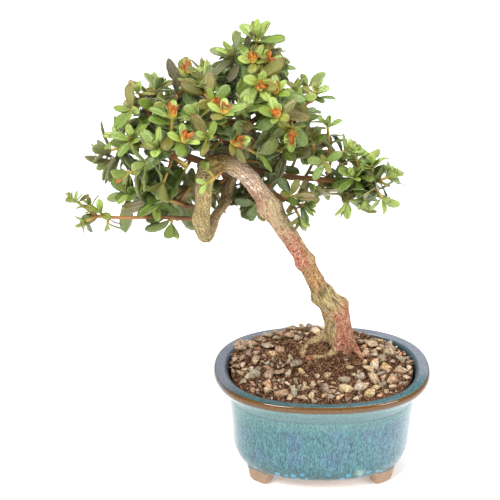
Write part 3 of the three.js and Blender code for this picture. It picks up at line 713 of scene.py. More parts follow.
# %% The larger loose stones
# Place, height of the middle over the ground, half sizes, turn and colour.
loose_stones = [
    (-56.6, 14.5, 3.6, 5.4, 5.4, 6, 20, (150, 112, 84)),
    (-47.5, -16.5, 1.6, 6.6, 4.6, 4.2, 35, (172, 170, 142)),
    (-28, -36.5, 1.8, 6, 4.6, 4.4, 0, (196, 158, 116)),
    (15, -31.5, 1.6, 6.4, 4.4, 3.8, -15, (226, 210, 166)),
    (33.5, -19, 2, 7, 5.2, 4.6, -25, (204, 180, 142)),
    (31.5, -36, 1.4, 6.2, 4.2, 3.8, 10, (208, 186, 120)),
    (47.5, -20, 1.8, 5.8, 4.6, 4, 30, (186, 142, 100)), (43.5, -2.5, 2, 5, 4.4, 4.2, 10, (212, 174, 106)),
    (48.5, 21.5, 2.4, 5.6, 4.4, 4.4, -20, (112, 78, 60))]

for number, (x, y, seat, *sizes, turn, colour) in enumerate(loose_stones, 1):
    bm = broken_stone(seeds["stones"] + number, stone_corners, stone_bevel, 3)
    bm.verts.layers.float_color.new("stone_colour")
    for vert in bm.verts:
        vert.co *= 0.95 + 0.07 * noise.fractal(vert.co * 2.4 + Vector((number, 0, 0)), 1.0, 2.0, 4)
    place = stone_place(x, y, soil_height(x, y) + seat, sizes, math.radians(turn))
    bmesh.ops.transform(bm, matrix=place, verts=bm.verts)
    paint(bm, bm.verts, "stone_colour", tone(*colour))
    hand_over(f"loose_stone_{number:02d}", bm, [rock], "stone", f"stone_{number:02d}")

# %% [markdown]
# ## Gravel and crumbs
# Small stones fill the left, the front and the right of the pot. The ones that catch the eye are listed:
# place, half width, half height and colour. The rest is thrown at random and kept clear of them. Crumbs
# of peat and curled fibres cover the ground between them.

# %% Gravel
chosen_stones = [
    (-49, 25, 5.2, 3.4, (172, 138, 106)), (-44, 16, 2.3, 2, (212, 140, 96)),
    (-50, 9, 2.7, 2.2, (138, 122, 112)), (-34, 8, 3.8, 2.4, (220, 182, 116)),
    (-40, 5, 2.8, 2, (204, 160, 126)), (-38, -2, 2.2, 2.4, (172, 174, 164)),
    (-59, 4, 2.4, 2.4, (184, 158, 138)), (-56, -12, 3.8, 2.6, (212, 188, 130)),
    (-37, -10, 3, 3.6, (176, 114, 82)), (-48, -25, 3.8, 2.4, (198, 140, 118)),
    (-38, -27, 3.8, 3.6, (212, 158, 118)), (-32, -28, 1.6, 1.8, (188, 118, 94)),
    (-20, -38, 2.4, 4, (184, 188, 176)), (-19, -27, 2.6, 3.8, (168, 158, 134)),
    (-15, -17, 3.6, 3.2, (222, 206, 140)), (-12, -34, 3.2, 2.6, (184, 154, 110)),
    (-8, -41, 2.8, 2.4, (224, 204, 158)), (-15, -42, 4.4, 2.2, (194, 176, 148)),
    (-20, 43, 5.2, 2.4, (158, 138, 96)), (-32, 39, 4, 2.4, (192, 168, 124)),
    (-44, 31, 4.4, 3, (128, 94, 74)), (30, 18, 2.4, 2, (224, 158, 82)),
    (55, 14, 1.8, 2.2, (224, 138, 78)), (40, -10, 4.6, 1.4, (148, 150, 146)),
    (54, 7, 4.4, 3.4, (156, 154, 130)), (54, -7, 4.6, 3.2, (178, 148, 108)),
    (36, -29, 3.4, 2.2, (204, 182, 108)), (14, -22, 5, 2.2, (148, 132, 118)),
    (23, -22, 2.6, 3, (198, 194, 178)), (1, -33, 3.4, 4.2, (122, 88, 70)),
    (11, -42, 3.2, 2.4, (220, 168, 102)), (20, -41, 3.4, 2.4, (220, 198, 178)),
    (5, -42, 2.4, 2.2, (148, 148, 134)), (16, -3, 1.9, 0.9, (216, 212, 202)),
    (41, 33, 3.4, 1.6, (196, 168, 118)), (33, 30, 3, 1.4, (206, 178, 130)),
    (25, 33, 3.2, 1.6, (184, 152, 104)), (-3, -25, 1.8, 1.6, (206, 160, 120)),
    (-27, -22, 1.9, 1.6, (150, 120, 92))]

# Colours of the other stones, with how often each turns up.
stone_tones = [
    ((196, 168, 132), 6), ((214, 192, 152), 4), ((176, 142, 112), 5), ((222, 206, 170), 3),
    ((158, 146, 128), 3), ((188, 172, 146), 3), ((206, 176, 120), 2), ((202, 148, 108), 2),
    ((144, 112, 86), 4), ((220, 212, 194), 2), ((118, 88, 68), 3), ((168, 164, 142), 1)]
stone_bag = [colour for colour, times in stone_tones for _ in range(times)]

scatter_reach = 62
gravel_tries = 3600
large_sizes, small_sizes = (2.8, 3.6, 4.4, 5.2), (1.2, 1.7, 2.3, 2.8)
gravel_shapes = [
    to_mesh("gravel_template", broken_stone(seeds["gravel shapes"] + i, pebble_corners, stone_bevel))
    for i in range(9)]
print("gravel templates:", [len(shape.polygons) for shape in gravel_shapes])


def scatter_gravel(dice, tries):
    """Small stones that keep clear of each other, thick by the wall and thin at the trunk: x, y, size."""
    kept = [(x, y, width) for x, y, _, width, *_ in loose_stones] + [stone[:3] for stone in chosen_stones]
    first = len(kept)
    for step in range(tries):
        angle, reach = dice.uniform(0, math.tau), scatter_reach * dice.uniform(0.08, 1) ** 0.5
        size = dice.choice(large_sizes if step < tries / 2 else small_sizes)
        fuller = fullness_at(angle)
        x, y = reach * math.cos(angle) * fuller, reach * math.sin(angle) * fuller * pot_depth_ratio
        wanted = min(1, max(0.1, (reach - 28 + 0.3 * abs(x) - 0.3 * y) / 26)) ** 1.6
        if dice.random() > wanted or reach > scatter_reach + 1 - size * 0.8:
            continue
        if all(math.hypot(x - a, y - b) > 0.76 * (size + c) for a, b, c in kept):
            kept.append((x, y, size))
    return kept[first:]


def drop_stone(bm, shape, place, colour):
    paint(bm, stamp(bm, shape, lambda co: place @ co), "stone_colour", tone(*colour))


def build_gravel():
    dice = random.Random(seeds["gravel"])
    bm = bmesh.new()
    bm.verts.layers.float_color.new("stone_colour")
    for x, y, width, height, colour in chosen_stones:
        sizes = (width * 1.25, min(width, height) * 1.2, height * 1.2)
        turn, lean = dice.uniform(-0.5, 0.5), dice.uniform(-0.25, 0.25)
        place = stone_place(x, y, soil_height(x, y) + height * 0.5, sizes, turn, lean)
        drop_stone(bm, dice.choice(gravel_shapes), place, colour)
    for x, y, size in scatter_gravel(dice, gravel_tries):
        sizes = [size * dice.uniform(low, high) for low, high in ((0.95, 1.35), (0.8, 1.1), (0.5, 0.9))]
        height = soil_height(x, y) + size * 0.42 + 0.4
        place = stone_place(x, y, height, sizes, dice.uniform(0, math.tau), dice.uniform(-0.5, 0.5))
        shade = dice.uniform(0.78, 1.16)
        colour = [value * shade for value in dice.choice(stone_bag)]
        drop_stone(bm, dice.choice(gravel_shapes), place, colour)
    return bm


hand_over("gravel", build_gravel(), [rock], "stone")


# %% Crumbs and fibres of peat
def make_fibre():
    shader = Shader("fibre")
    shades = shader.noise(shader.place(), 0.6, 2)
    colour = shader.shades(shades, (0.4, 0.6), (112, 78, 54), (200, 164, 122))
    return shader.finish(Base_Color=colour, Roughness=0.9)


crumb_shape = to_mesh("crumb_template", broken_stone(seeds["crumb shape"], pebble_corners, 0))
crumb_count = 4200                    # every fifth of them is a fibre
fibre_step, fibre_radius = 1.5, 0.17


def drop_crumb(bm, x, y, height, dice):
    size = dice.choice((0.5, 0.7, 0.9, 1.3))
    sizes = [size * dice.uniform(0.7, 1.3) for _ in range(3)]
    place = stone_place(x, y, height + 0.3 * size, sizes, dice.uniform(0, math.tau), dice.uniform(-1, 1))
    stamp(bm, crumb_shape, lambda co: place @ co)


def drop_fibre(bm, x, y, height, dice):
    ahead = dice.uniform(0, math.tau)
    line = []
    for _ in range(4):
        line.append([x, y, height + 0.5 + dice.uniform(-0.4, 1), fibre_radius])
        ahead += dice.uniform(-1.1, 1.1)
        x += fibre_step * math.cos(ahead)
        y += fibre_step * math.sin(ahead)
    stamp_tube(bm, smooth_line(line, 6), 3, finish=1)


def build_crumbs():
    dice = random.Random(seeds["crumbs"])
    bm = bmesh.new()
    for i in range(crumb_count):
        angle, reach = dice.uniform(0, math.tau), scatter_reach * dice.random() ** 0.5
        x, y = reach * math.cos(angle), reach * math.sin(angle) * pot_depth_ratio
        drop = drop_crumb if i % 5 else drop_fibre
        drop(bm, x, y, soil_height(x, y) + 0.5, dice)
    return bm


hand_over("peat_crumbs", build_crumbs(), [peat, make_fibre()], "peat")

# %% [markdown]
# ## The trunk
# Old azalea wood is never a plain pipe. It swells at old cuts, twists, and its bark splits along the
# grain and flakes. The trunk, the leader that comes back up out of the hairpin, and the surface roots
# are swept as tubes, melted into one skin by a voxel remesh, and then the bark is raised in that skin.
# Each point also remembers where it lies along the wood, so the grain in the finish follows every bend.

# %% The wood's middle lines
trunk_rise = [
    [14, 11, 75, 8], [14, 11, 86, 7.8], [13.2, 11, 92, 8.8], [12, 11, 98, 9.5], [10.7, 10.5, 104, 9.3],
    [9.9, 10, 111, 9.2], [8, 9, 117, 8.9], [4.6, 7.5, 123.5, 7.8], [0.5, 6, 129.5, 6.9],
    [-4, 3.7, 139, 6.1], [-8.4, 2, 149.4, 5.6], [-14.2, -1, 162, 5.8], [-20.4, -4, 174.4, 6],
    [-27, -8, 187.2, 6.2], [-33.5, -12, 199.8, 6.9], [-38, -15, 209, 6.4], [-43.3, -18, 218.3, 5.8],
    [-49.6, -22, 229.5, 5.7], [-56.1, -25, 237, 5.7], [-63.7, -29, 242.9, 5.7], [-71.3, -31, 243.2, 6],
    [-76.4, -31.5, 238.5, 6.2], [-78.3, -31, 229, 5.6], [-79, -30, 219, 5.3], [-80, -28, 207, 5.2],
    [-79.8, -26, 196.7, 5.2], [-78.4, -22.5, 189, 5.2]]
trunk_return = [
    [-79.6, -25.5, 195, 4.8], [-78, -21.5, 188.5, 4.8], [-75.7, -18, 190.5, 4.2],
    [-73.4, -14, 194.4, 3.7], [-70.8, -9, 197.7, 3.4], [-68, -5, 200, 3.2], [-66, -1, 203, 3],
    [-64.8, 3, 205.6, 3], [-63.2, 8, 210, 3.2], [-57, 16, 222, 3.2], [-54, 20, 238, 2.9],
    [-51, 20, 254, 2.4]]
# Swellings, knots and pruned stubs: place, spread, rise.
knots = [
    [-29, -15, 208, 4.5, 1.8], [-44, -14, 202, 3.4, 2.8], [-7, -1, 162, 3, 1.8], [-17.6, 0, 156, 3, 1.9],
    [6.4, 5, 135.4, 3, 2.2], [-6, 7, 126, 3.2, 2.8], [15, 8, 123, 4, 2.8], [-85, -27, 203, 3, 1.5],
    [-71, -34, 248, 3, 1.3], [-64, 0, 203, 2.6, 1.8]]
# Roots on the ground, ending under it.
surface_roots = [
    [[8, 13, 96, 5.6], [1.4, 16, 90, 4.2], [-7.6, 12.6, 87.8, 2.9], [-13, 4.6, 84.8, 2.3],
     [-11.6, 0.6, 80, 2]],
    [[12, 5, 93, 4], [6.6, 0, 88, 2.6], [-0.6, -2.4, 86, 1.9], [-8, -1.2, 84.5, 2], [-13, 2, 81, 1.8]],
    [[16, 10, 95, 5.4], [20, 10, 89.5, 3.8], [23.6, 10, 84.4, 2.6]],
    [[18, 12, 94, 3.8], [23, 11, 86.6, 2.4], [26.4, 6.4, 82.6, 1.7], [27.6, -2.4, 77, 1.4]],
    [[8, 14, 98, 5.2], [3, 19, 91.4, 3.8], [-2, 25, 84, 2.6]]]


def knot_rise(place):
    return sum(rise * math.exp(-((place - Vector(middle)).length / spread) ** 2 / 2)
               for *middle, spread, rise in knots)


rise_rings, return_rings, root_rings = 208, 88, 20
wood_sides, root_sides = 28, 16
voxel = 0.7

wood_lines = [smooth_line(trunk_rise, rise_rings), smooth_line(trunk_return, return_rings)]
wood = bmesh.new()
for line in wood_lines:
    stamp_tube(wood, line, wood_sides, swell=knot_rise)
for root in surface_roots:
    stamp_tube(wood, smooth_line(root, root_rings), root_sides)
wood_skin = modified(wood, "REMESH", mode="VOXEL", voxel_size=voxel)
for _ in range(2):
    bmesh.ops.smooth_vert(wood_skin, verts=wood_skin.verts, factor=0.5, use_axis_x=True, use_axis_y=True,
                          use_axis_z=True)
print("wood:", len(wood_skin.faces), "faces")


# %% Bark raised along the grain
return_start = 300.0                  # where the count along the wood starts anew, for the leader
bark_round, bark_twist = 6, 0.012     # radius and turn of the wood that the noise is drawn on
ridge_rise, flake_rise, lump_rise, crack_depth = 0.45, 0.4, 0.45, 0.5


def grain_finder(lines):
    """For any point near the lines: its place across and along the wood."""
    samples = []
    for number, line in enumerate(lines):
        along = return_start * number
        frames = ring_frames(line)
        for i, (middle, across, aside, _) in enumerate(frames):
            if i:
                along += (middle - frames[i - 1][0]).length
            samples.append((middle, across, aside, along))
    tree = tree_of([sample[0] for sample in samples])

    def find(point):
        middle, across, aside, along = samples[tree.find(point)[1]]
        out = point - middle
        return Vector((out.dot(across), out.dot(aside), along + out.dot(across.cross(aside))))

    return find


def scaled(place, across, along):
    return Vector((place.x * across, place.y * across, place.z * along))


def raise_bark(bm, find_grain):
    grain = bm.verts.layers.float_vector.new("grain")
    bm.normal_update()
    for vert in bm.verts:
        inside = find_grain(vert.co)
        vert[grain] = inside
        around = Vector((inside.x, inside.y, 0)).normalized() * bark_round
        around.z = inside.z
        around = Matrix.Rotation(inside.z * bark_twist, 3, "Z") @ around
        ridges = noise.noise(scaled(around, 0.36, 0.035))
        flakes = noise.fractal(scaled(around, 0.7, 0.2), 1.0, 2.0, 3)
        cracks = abs(noise.noise(scaled(around, 0.55, 0.07)))
        lumps = noise.noise(vert.co * 0.11)
        vert.co += vert.normal * (ridge_rise * ridges + flake_rise * flakes + lump_rise * lumps
                                  - crack_depth * max(0, 1 - 6 * cracks))


raise_bark(wood_skin, grain_finder(wood_lines))

# %% [markdown]
# ## Bark
# The bark is tan and yellow-green where it is old, with brick-red stretches where flakes came off, and
# the arch is pinkish with fine dark cracks along it. Colours change along the wood and from its left to
# its right, which the grain attribute tells, so the sums below read like a walk up the trunk. Cells that
# are drawn out along the grain give the flakes and the cracks between them.

# %% Bark finish
def make_bark():
    shader = Shader("bark")
    grain = shader.attribute("grain", "Vector")
    _, left, along = shader.split(grain)
    position = shader.place()
    mottle = shader.noise(position, 0.22, 4, 0.6)
    fine = shader.noise(position, 0.8, 3, 0.75)
    blotch = shader.noise(position, 0.11, 3, 0.6) - 0.5
    wobble = 6 * (mottle - 0.5) + 5 * (fine - 0.5)
    lot, across = along + wobble, left + wobble
    stripes = shader.noise(grain, (0.8, 0.8, 0.13), 3, 0.65)
    net = abs(shader.noise(grain, (0.34, 0.34, 0.22), 3, 0.7) - 0.5)
    plates = shader.vector("ADD", shader.stretch(grain, (0.66, 0.66, 0.2)), shader.noise(position, 0.4, 2))
    granules = shader.stretch(grain, (1.0, 1.0, 0.7))
    plate_edge, granule_edge = (shader.cells(spots, 1.0, "DISTANCE_TO_EDGE") for spots in (plates, granules))

    # The wood's own colours, from the roots up to the arch and down to the hairpin; the darker bark on the
    # leader is painted shade.
    tan = shader.shades(fine, (0.38, 0.62), (112, 74, 40), (198, 156, 106))
    olive = shader.shades(stripes, (0.38, 0.62), (88, 76, 38), (184, 160, 108))
    beige = shader.shades(fine, (0.38, 0.6), (98, 70, 38), (206, 168, 118))
    beige = shader.mix(blotch.fade(0.0, 0.08) * 0.7, beige, olive)
    arch = shader.mix(shader.cell_chance(plates), (202, 166, 136), (238, 218, 192))
    ochre = shader.shades(fine, (0.38, 0.6), (70, 52, 14), (170, 146, 72))
    # Painted shade: this darker bark goes on the leader, which rises from the hairpin into the shade of the
    # crown.
    dark = shader.shades(fine, (0.36, 0.6), (96, 70, 42), (164, 132, 84))
    brick = shader.shades(fine, (0.38, 0.62), (104, 40, 26), (188, 106, 78))
    base = shader.layers(
        tan, (lot.fade(46, 52) * lot.fade(74, 64), olive), (lot.fade(116, 128), beige),
        (lot.fade(150, 164), arch), (lot.fade(184, 200), ochre), (along.fade(298, 300), dark),
        (lot.fade(46, 40) * across.fade(-2, 3) * 0.8, olive))

    # Brick red at the foot, in the middle, under the arch and at the end of the front root.
    foot_red = (lot + 20 * blotch).fade(47, 42) * (across + 22 * blotch + 0.1 * along).fade(5.4, 3)
    middle_red = (lot + 12 * blotch).fade(86, 92) * lot.fade(134, 126) * (across + 8 * blotch).fade(-6, -3)
    upper_red = lot.fade(130, 138) * lot.fade(178, 168) * (across + 10 * blotch).fade(-1, 3) * 0.6
    to_root_end = shader.vector("DISTANCE", position, pot_foot * 1000 + Vector((-10, -1, 84)), "Value")
    end_red = (to_root_end + wobble).fade(6, 3)
    red = foot_red.at_least(middle_red).at_least(upper_red).at_least(end_red)

    # Granules, cracks, a pale net, flecks, dark stripes and a little moss.
    granular = (lot.fade(112, 124) * lot.fade(156, 148)).at_least(lot.fade(200, 208) * 0.7)
    cracked = lot.fade(148, 160) * lot.fade(206, 196)
    pale_net = net.fade(0.035, 0.01) * (red * 0.75).at_least(lot.fade(84, 96) * lot.fade(160, 150) * 0.8)
    pale_net = pale_net.at_least(net.fade(0.03, 0.01) * lot.fade(60, 50) * 0.6)
    granule = shader.cell_chance(granules, 1)
    flecks = fine.fade(0.6, 0.68) * (1 - red) * (1 - granular) * (1 - cracked)
    moss = fine.fade(0.46, 0.56) * mottle.fade(0.5, 0.4)
    base = shader.layers(
        base, (red * 0.9, brick), (granule.fade(0.62, 0.7) * granular * 0.25, (232, 214, 176)),
        (granule_edge.fade(0.16, 0.04) * granular * 0.6, (222, 202, 158)),
        (plate_edge.fade(0.13, 0.03) * cracked * 0.7, (104, 66, 46)), (pale_net * 0.8, (226, 200, 168)),
        (flecks * 0.45, (226, 204, 162)), (stripes.fade(0.48, 0.36) * 0.5, (92, 60, 36)),
        (moss * (0.25 + lot.fade(16, 4) * 0.5), (92, 98, 50)))
    flakes = plate_edge.fade(0.0, 0.25) * cracked * 0.6 + granule_edge.fade(0.0, 0.25) * granular * 0.5
    relief = shader.bump(stripes * 0.3 + flakes + fine * 0.4, 0.9, 0.9)
    return shader.finish(Base_Color=base, Roughness=0.78, Normal=relief)


hand_over("barked_trunk", wood_skin, [make_bark()], "bark", "trunk")

# %% [markdown]
# ## Branches
# A branch is a woody limb that bears short shoots, and each shoot ends in a whorl of leaves, some round a
# flower bud. The list says where each limb runs, with its radius at both ends, and for each shoot where
# it ends, how long its leaves are, how many it has, how far it turns up, and whether it carries a bud.
# The rest dresses the branch: fullness gives the number of side twigs, and of the old and the young
# leaves that each shoot gets as well; bronze and late_buds name shoots by their place in the list;
# hanging gives the tips of more twigs; and fresh says how much younger a whole branch looks.

# %% Limbs and shoots
branches = [
    {"name": "branch_crown", "fullness": (8, 7, 5), "fresh": 0.06, "bronze": (2,), "late_buds": (4,),
     "limbs": [
         ((2.4, 1.4), [[-51, 20, 251], [-50, 18, 268], [-47, 13, 284], [-45, 11, 295]])],
     "shoots": [
         [-45, 10, 312, 19, 7, 0.9], [-47, -2, 301, 16, 5, 0.7, True], [-59, 3, 303, 21, 4, 0.4],
         [-39, 0, 300, 16, 4, 0.6, True], [-43, -11, 289, 18, 5, 0.5], [-58, 26, 287, 18, 4, 0.6],
         [-39, 30, 285, 18, 4, 0.6]]},
    {"name": "branch_upper_left", "fullness": (7, 6, 4), "bronze": (2,),
     "limbs": [
         ((2.1, 1.3), [[-52, 20, 248], [-63, 13, 264], [-76, 5, 277], [-86, -2, 286]])],
     "shoots": [
         [-88, -5, 293, 17, 6, 0.8, True], [-77, 2, 289, 17, 4, 0.7], [-99, -15, 278, 20, 5, 0.5],
         [-72, -24, 282, 16, 5, 0.6, True], [-85, 22, 270, 18, 4, 0.6], [-70, 26, 274, 17, 4, 0.6]]},
    {"name": "branch_front", "fullness": (6, 5, 3), "late_buds": (1,),
     "limbs": [
         ((2.1, 1.3), [[-54, 20, 240], [-58, 3, 249], [-63, -16, 258], [-68, -32, 264]])],
     "shoots": [
         [-75, -46, 268, 17, 5, 0.5], [-60, -42, 263, 16, 5, 0.5], [-82, -34, 275, 17, 5, 0.6],
         [-65, -44, 283, 16, 5, 0.8, True], [-45, -32, 251, 20, 5, 0.4], [-52, -24, 276, 17, 5, 0.7]]},
    {"name": "branch_left", "fullness": (8, 5, 4), "bronze": (1, 3),
     "limbs": [
         ((3, 1.4), [[-61, 12, 215], [-75, 12, 223], [-92, 8, 232], [-107, 1, 240], [-120, -4, 244]]),
         ((1.8, 1.2), [[-106, 1, 240], [-109, 1, 254], [-114, -1, 266], [-118, -3, 275]])],
     "shoots": [
         [-132, -8, 252, 15, 5, 0.6], [-139, -2, 240, 21, 5, 0.15], [-124, -25, 259, 15, 6, 0.7],
         [-140, 2, 231, 21, 4, 0.1], [-113, 22, 248, 18, 4, 0.6], [-120, -5, 281, 12, 5, 0.7],
         [-110, 10, 278, 17, 5, 0.7], [-104, -4, 263, 17, 4, 0.6], [-121, 7, 262, 16, 4, 0.6]]},
    {"name": "branch_left_front", "fullness": (6, 5, 3),
     "limbs": [
         ((1.8, 1.2), [[-90, 8, 232], [-93, -10, 241], [-98, -26, 249], [-101, -36, 252]])],
     "shoots": [
         [-90, -50, 267, 18, 5, 0.6, True], [-106, -45, 261, 18, 5, 0.5],
         [-97, -40, 278, 16, 5, 0.8, True], [-114, -38, 247, 20, 4, 0.2],
         [-127, -22, 233, 20, 4, 0.2, True], [-104, -30, 230, 21, 4, -0.1]]},
    {"name": "branch_left_low", "fullness": (6, 4, 2),
     "limbs": [
         ((1.8, 1.1), [[-80, -27, 211], [-90, -20, 209], [-100, -8, 208], [-110, -5, 210], [-118, -9, 212]])],
     "shoots": [
         [-124, -15, 217, 22, 5, 0.1], [-112, -14, 209, 22, 4, -0.4], [-98, 0, 205, 21, 4, -0.4],
         [-89, 9, 203, 20, 4, -0.3], [-99, 14, 220, 19, 4, 0.5]]},
    {"name": "branch_long_low", "fullness": (0, 1, 3), "fresh": 0.15,
     "limbs": [
         ((1.6, 1), [[-81, -25, 202], [-92, -18, 199], [-110, -18, 200], [-130, -19, 200],
          [-148, -21, 202]])],
     "shoots": [
         [-163, -22, 215, 10, 6, 0.5], [-157, -27, 200, 10, 6, -0.2], [-152, -16, 207, 13, 3, 0.8],
         [-145, -24, 206, 12, 4, 0.4], [-141, -24, 198, 12, 2, -0.8], [-100, -19, 196, 18, 2, -0.8]]},
    {"name": "branch_upper_right", "fullness": (4, 5, 4), "late_buds": (4,),
     "limbs": [
         ((2, 1.1), [[-51, 20, 249], [-39, 8, 261], [-28, 2, 267], [-17, 1, 270], [-9, 2, 273]])],
     "shoots": [
         [-7, 2, 280, 12, 7, 0.8], [-32, -25, 274, 16, 5, 0.6, True], [-33, -13, 284, 16, 5, 0.7, True],
         [-20, 4, 279, 14, 4, 0.7], [-23, -16, 260, 16, 4, 0.2]]},
    {"name": "branch_mid_right", "fullness": (4, 5, 4),
     "limbs": [
         ((2.2, 1.2), [[-54, 20, 230], [-41, 15, 228], [-26, 9, 232], [-9, 6, 232], [3, 4, 233]])],
     "shoots": [
         [12, 0, 239, 14, 5, 0.6], [-10, -2, 247, 14, 6, 0.7], [1, 4, 254, 12, 5, 0.7],
         [15, 9, 232, 14, 4, 0.4], [-28, -8, 244, 17, 5, 0.5]]},
    {"name": "branch_far_right", "fullness": (7, 6, 5), "fresh": 0.12,
     "limbs": [
         ((2.6, 1.2), [[-57, 16, 222], [-41, 17, 216], [-20, 15, 213], [-3, 12, 213], [14, 8, 212],
          [30, 2, 215]])],
     "shoots": [
         [43, 2, 220, 14, 6, 0.4], [30, 0, 229, 13, 6, 0.8], [18, -4, 222, 15, 5, 0.5],
         [18, 0, 238, 12, 6, 0.8], [37, -8, 209, 16, 4, -0.1], [14, -4, 205, 21, 2, -0.9],
         [25, -6, 208, 16, 3, -0.6], [4, 22, 221, 14, 3, 0.5], [31, 18, 223, 15, 4, 0.5]]},
    {"name": "branch_low_right", "fullness": (4, 3, 3),
     "hanging": [(-50, 12, 198), (-42, 14, 202)],
     "limbs": [
         ((1.7, 1.1), [[-58, 13, 215], [-47, 7, 212], [-34, 0, 208], [-22, -4, 204]])],
     "shoots": [
         [-13, -8, 204, 15, 6, 0.3], [-8, -2, 208, 13, 4, 0.8], [-17, -12, 197, 17, 3, -0.8],
         [-33, 8, 217, 18, 4, 0.4], [-48, 10, 201, 18, 3, -0.4]]},
    {"name": "shoot_on_arch", "fullness": (0, 1, 3), "fresh": 0.4,
     "limbs": [
         ((1.5, 1.1), [[-67, -30, 240], [-69, -37, 239], [-72, -41, 238]])],
     "shoots": [
         [-77, -45, 236, 11, 6, -0.1], [-76, -42, 244, 10, 4, 0.5]]},
    {"name": "branch_back_left", "fullness": (6, 5, 3),
     "limbs": [
         ((2.1, 1.2), [[-56, 18, 227], [-70, 31, 236], [-86, 44, 243], [-100, 53, 247]])],
     "shoots": [
         [-111, 58, 254, 18, 5, 0.6], [-97, 60, 260, 18, 4, 0.7], [-83, 48, 260, 18, 4, 0.7],
         [-107, 42, 241, 18, 4, 0.3], [-88, 64, 242, 19, 4, 0.3]]},
    {"name": "branch_back_crown", "fullness": (6, 5, 3), "late_buds": (1,),
     "limbs": [
         ((2.1, 1.2), [[-52, 21, 244], [-51, 36, 256], [-48, 49, 264], [-45, 58, 269]])],
     "shoots": [
         [-43, 65, 279, 18, 5, 0.7], [-59, 56, 279, 18, 4, 0.7], [-33, 54, 275, 18, 4, 0.7],
         [-50, 42, 283, 18, 3, 0.8], [-60, 68, 266, 18, 4, 0.4]]},
    {"name": "branch_back_right", "fullness": (4, 4, 3),
     "limbs": [
         ((2.1, 1.2), [[-55, 19, 235], [-40, 31, 235], [-29, 38, 233], [-18, 45, 232]])],
     "shoots": [
         [-12, 51, 238, 17, 5, 0.5], [-19, 58, 248, 17, 4, 0.6], [-24, 46, 251, 17, 4, 0.7],
         [-31, 56, 238, 18, 4, 0.3], [-14, 38, 226, 17, 4, 0.2]]},
    {"name": "branch_back_low", "fullness": (8, 5, 3),
     "hanging": [(-68, 26, 203), (-60, 30, 196), (-76, 30, 210), (-52, 28, 200), (-79, 22, 201),
                 (-74, 24, 193)],
     "limbs": [
         ((1.9, 1.2), [[-60, 11, 214], [-58, 32, 212], [-56, 48, 214]])],
     "shoots": [
         [-56, 60, 221, 18, 5, 0.5], [-71, 52, 215, 19, 4, 0.2], [-41, 52, 217, 19, 4, 0.2],
         [-50, 66, 210, 19, 3, 0]]}]

# %% [markdown]
# ## Growing the same leaves as the solids
# The solids already hold some of the leaves, set by a rule with a seeded stream of numbers. The rule is
# repeated here step by step, so the finer leaves stand exactly there. Where a solid leaf was tilted to
# clear its neighbours, its tip tells: the tip is looked up among the solid's own points.

# %% The rule for shoots
whorl_order = (0, 2, 4, 1, 3)
whorl_size, leaf_turn = 5, 72
level_height = 2.6
outer_tilt, rise_round_bud, rise = 26, 26, 38      # of the outer leaves, and how much more of the inner
turn_play, tilt_play, roll_play = 16, 12, 24
inner_shorter = 0.34
leaf_tilts = (0, 12, -12, 24, -24, 36, -36)
solid_droop = 0.16                    # how far a solid leaf's tip hangs, over its length
tip_near = 0.05


def draw_numbers(seed):
    """A repeatable stream of numbers from 0 to 1. The first two are thrown away."""
    state = seed
    first = -2
    while True:
        state = (state * 1664525 + 1013904223) & 0xFFFFFFFF
        first += 1
        if first > 0:
            yield state / 4294967296


def nearest_on_limbs(limbs, target):
    best = None
    for _, line in limbs:
        for a, b in zip(line, line[1:]):
            a, b = Vector(a), Vector(b)
            place = a + (b - a) * clamp((target - a).dot(b - a) / (b - a).length_squared)
            if best is None or (place - target).length < (best - target).length:
                best = place
    return best


class Shoot:
    """A twig with its leaves: where it starts and ends, where it aims, and how each leaf stands."""

    def __init__(self, limbs, tip, leaf_length, leaf_count, lift, has_bud, draw):
        self.tip = Vector(tip)
        self.start = nearest_on_limbs(limbs, self.tip)
        self.aim = ((self.tip - self.start).normalized() + Vector((0, 0, lift))).normalized()
        up = Vector((0, 0, 1))
        self.side = up.cross(self.aim).normalized() if abs(self.aim.z) < 0.95 else Vector((1, 0, 0))
        self.across = self.aim.cross(self.side).normalized()
        self.has_bud = has_bud
        self.leaf_length = leaf_length
        self.first_turn = 360 * next(draw)
        self.leaves = []
        for i in range(leaf_count):
            inner = i / (leaf_count - 1)
            turn = self.first_turn + leaf_turn * whorl_order[i % whorl_size] + turn_play * (next(draw) - 0.5)
            tilt = outer_tilt + (rise_round_bud if has_bud else rise) * inner + tilt_play * (next(draw) - 0.5)
            length = leaf_length * (1 - inner_shorter * inner) * (0.9 + 0.2 * next(draw))
            roll = roll_play * (next(draw) - 0.5)
            self.leaves.append((turn, tilt, length, roll, inner))
        levels = [i // whorl_size for i in range(leaf_count)]
        self.bases = [self.tip - self.aim * (levels[-1] - level + 0.35) * level_height for level in levels]

    def towards(self, degrees):
        turn = math.radians(degrees)
        return self.side * math.cos(turn) + self.across * math.sin(turn)

    def leaning(self, turn, degrees):
        """The same shoot with its end leant over to one side."""
        other = copy.copy(self)
        lean = Matrix.Rotation(math.radians(degrees), 3, self.aim.cross(self.towards(turn)))
        other.aim, other.side, other.across = lean @ self.aim, lean @ self.side, lean @ self.across
        return other

    def blade_frame(self, turn, tilt, roll):
        """The ways along a blade, towards one edge and out of its upper face."""
        outward, (tilt, roll) = self.towards(turn), (math.radians(tilt), math.radians(roll))
        along = outward * math.cos(tilt) + self.aim * math.sin(tilt)
        level = self.aim * math.cos(tilt) - outward * math.sin(tilt)
        face = level * math.cos(roll) + level.cross(along) * math.sin(roll)
        return along, face.cross(along), face


# %% The leaves that the solids hold
def find_leaf(points, shoot, leaf, base):
    """The leaf as its solid stands, or None if the solid has none there."""
    turn, tilt, length, roll, inner = leaf
    for change in leaf_tilts:
        ways = shoot.blade_frame(turn, tilt + change, roll)
        if points.find(base + ways[0] * length - ways[2] * solid_droop * length)[2] < tip_near:
            return base, ways, length, inner
    return None


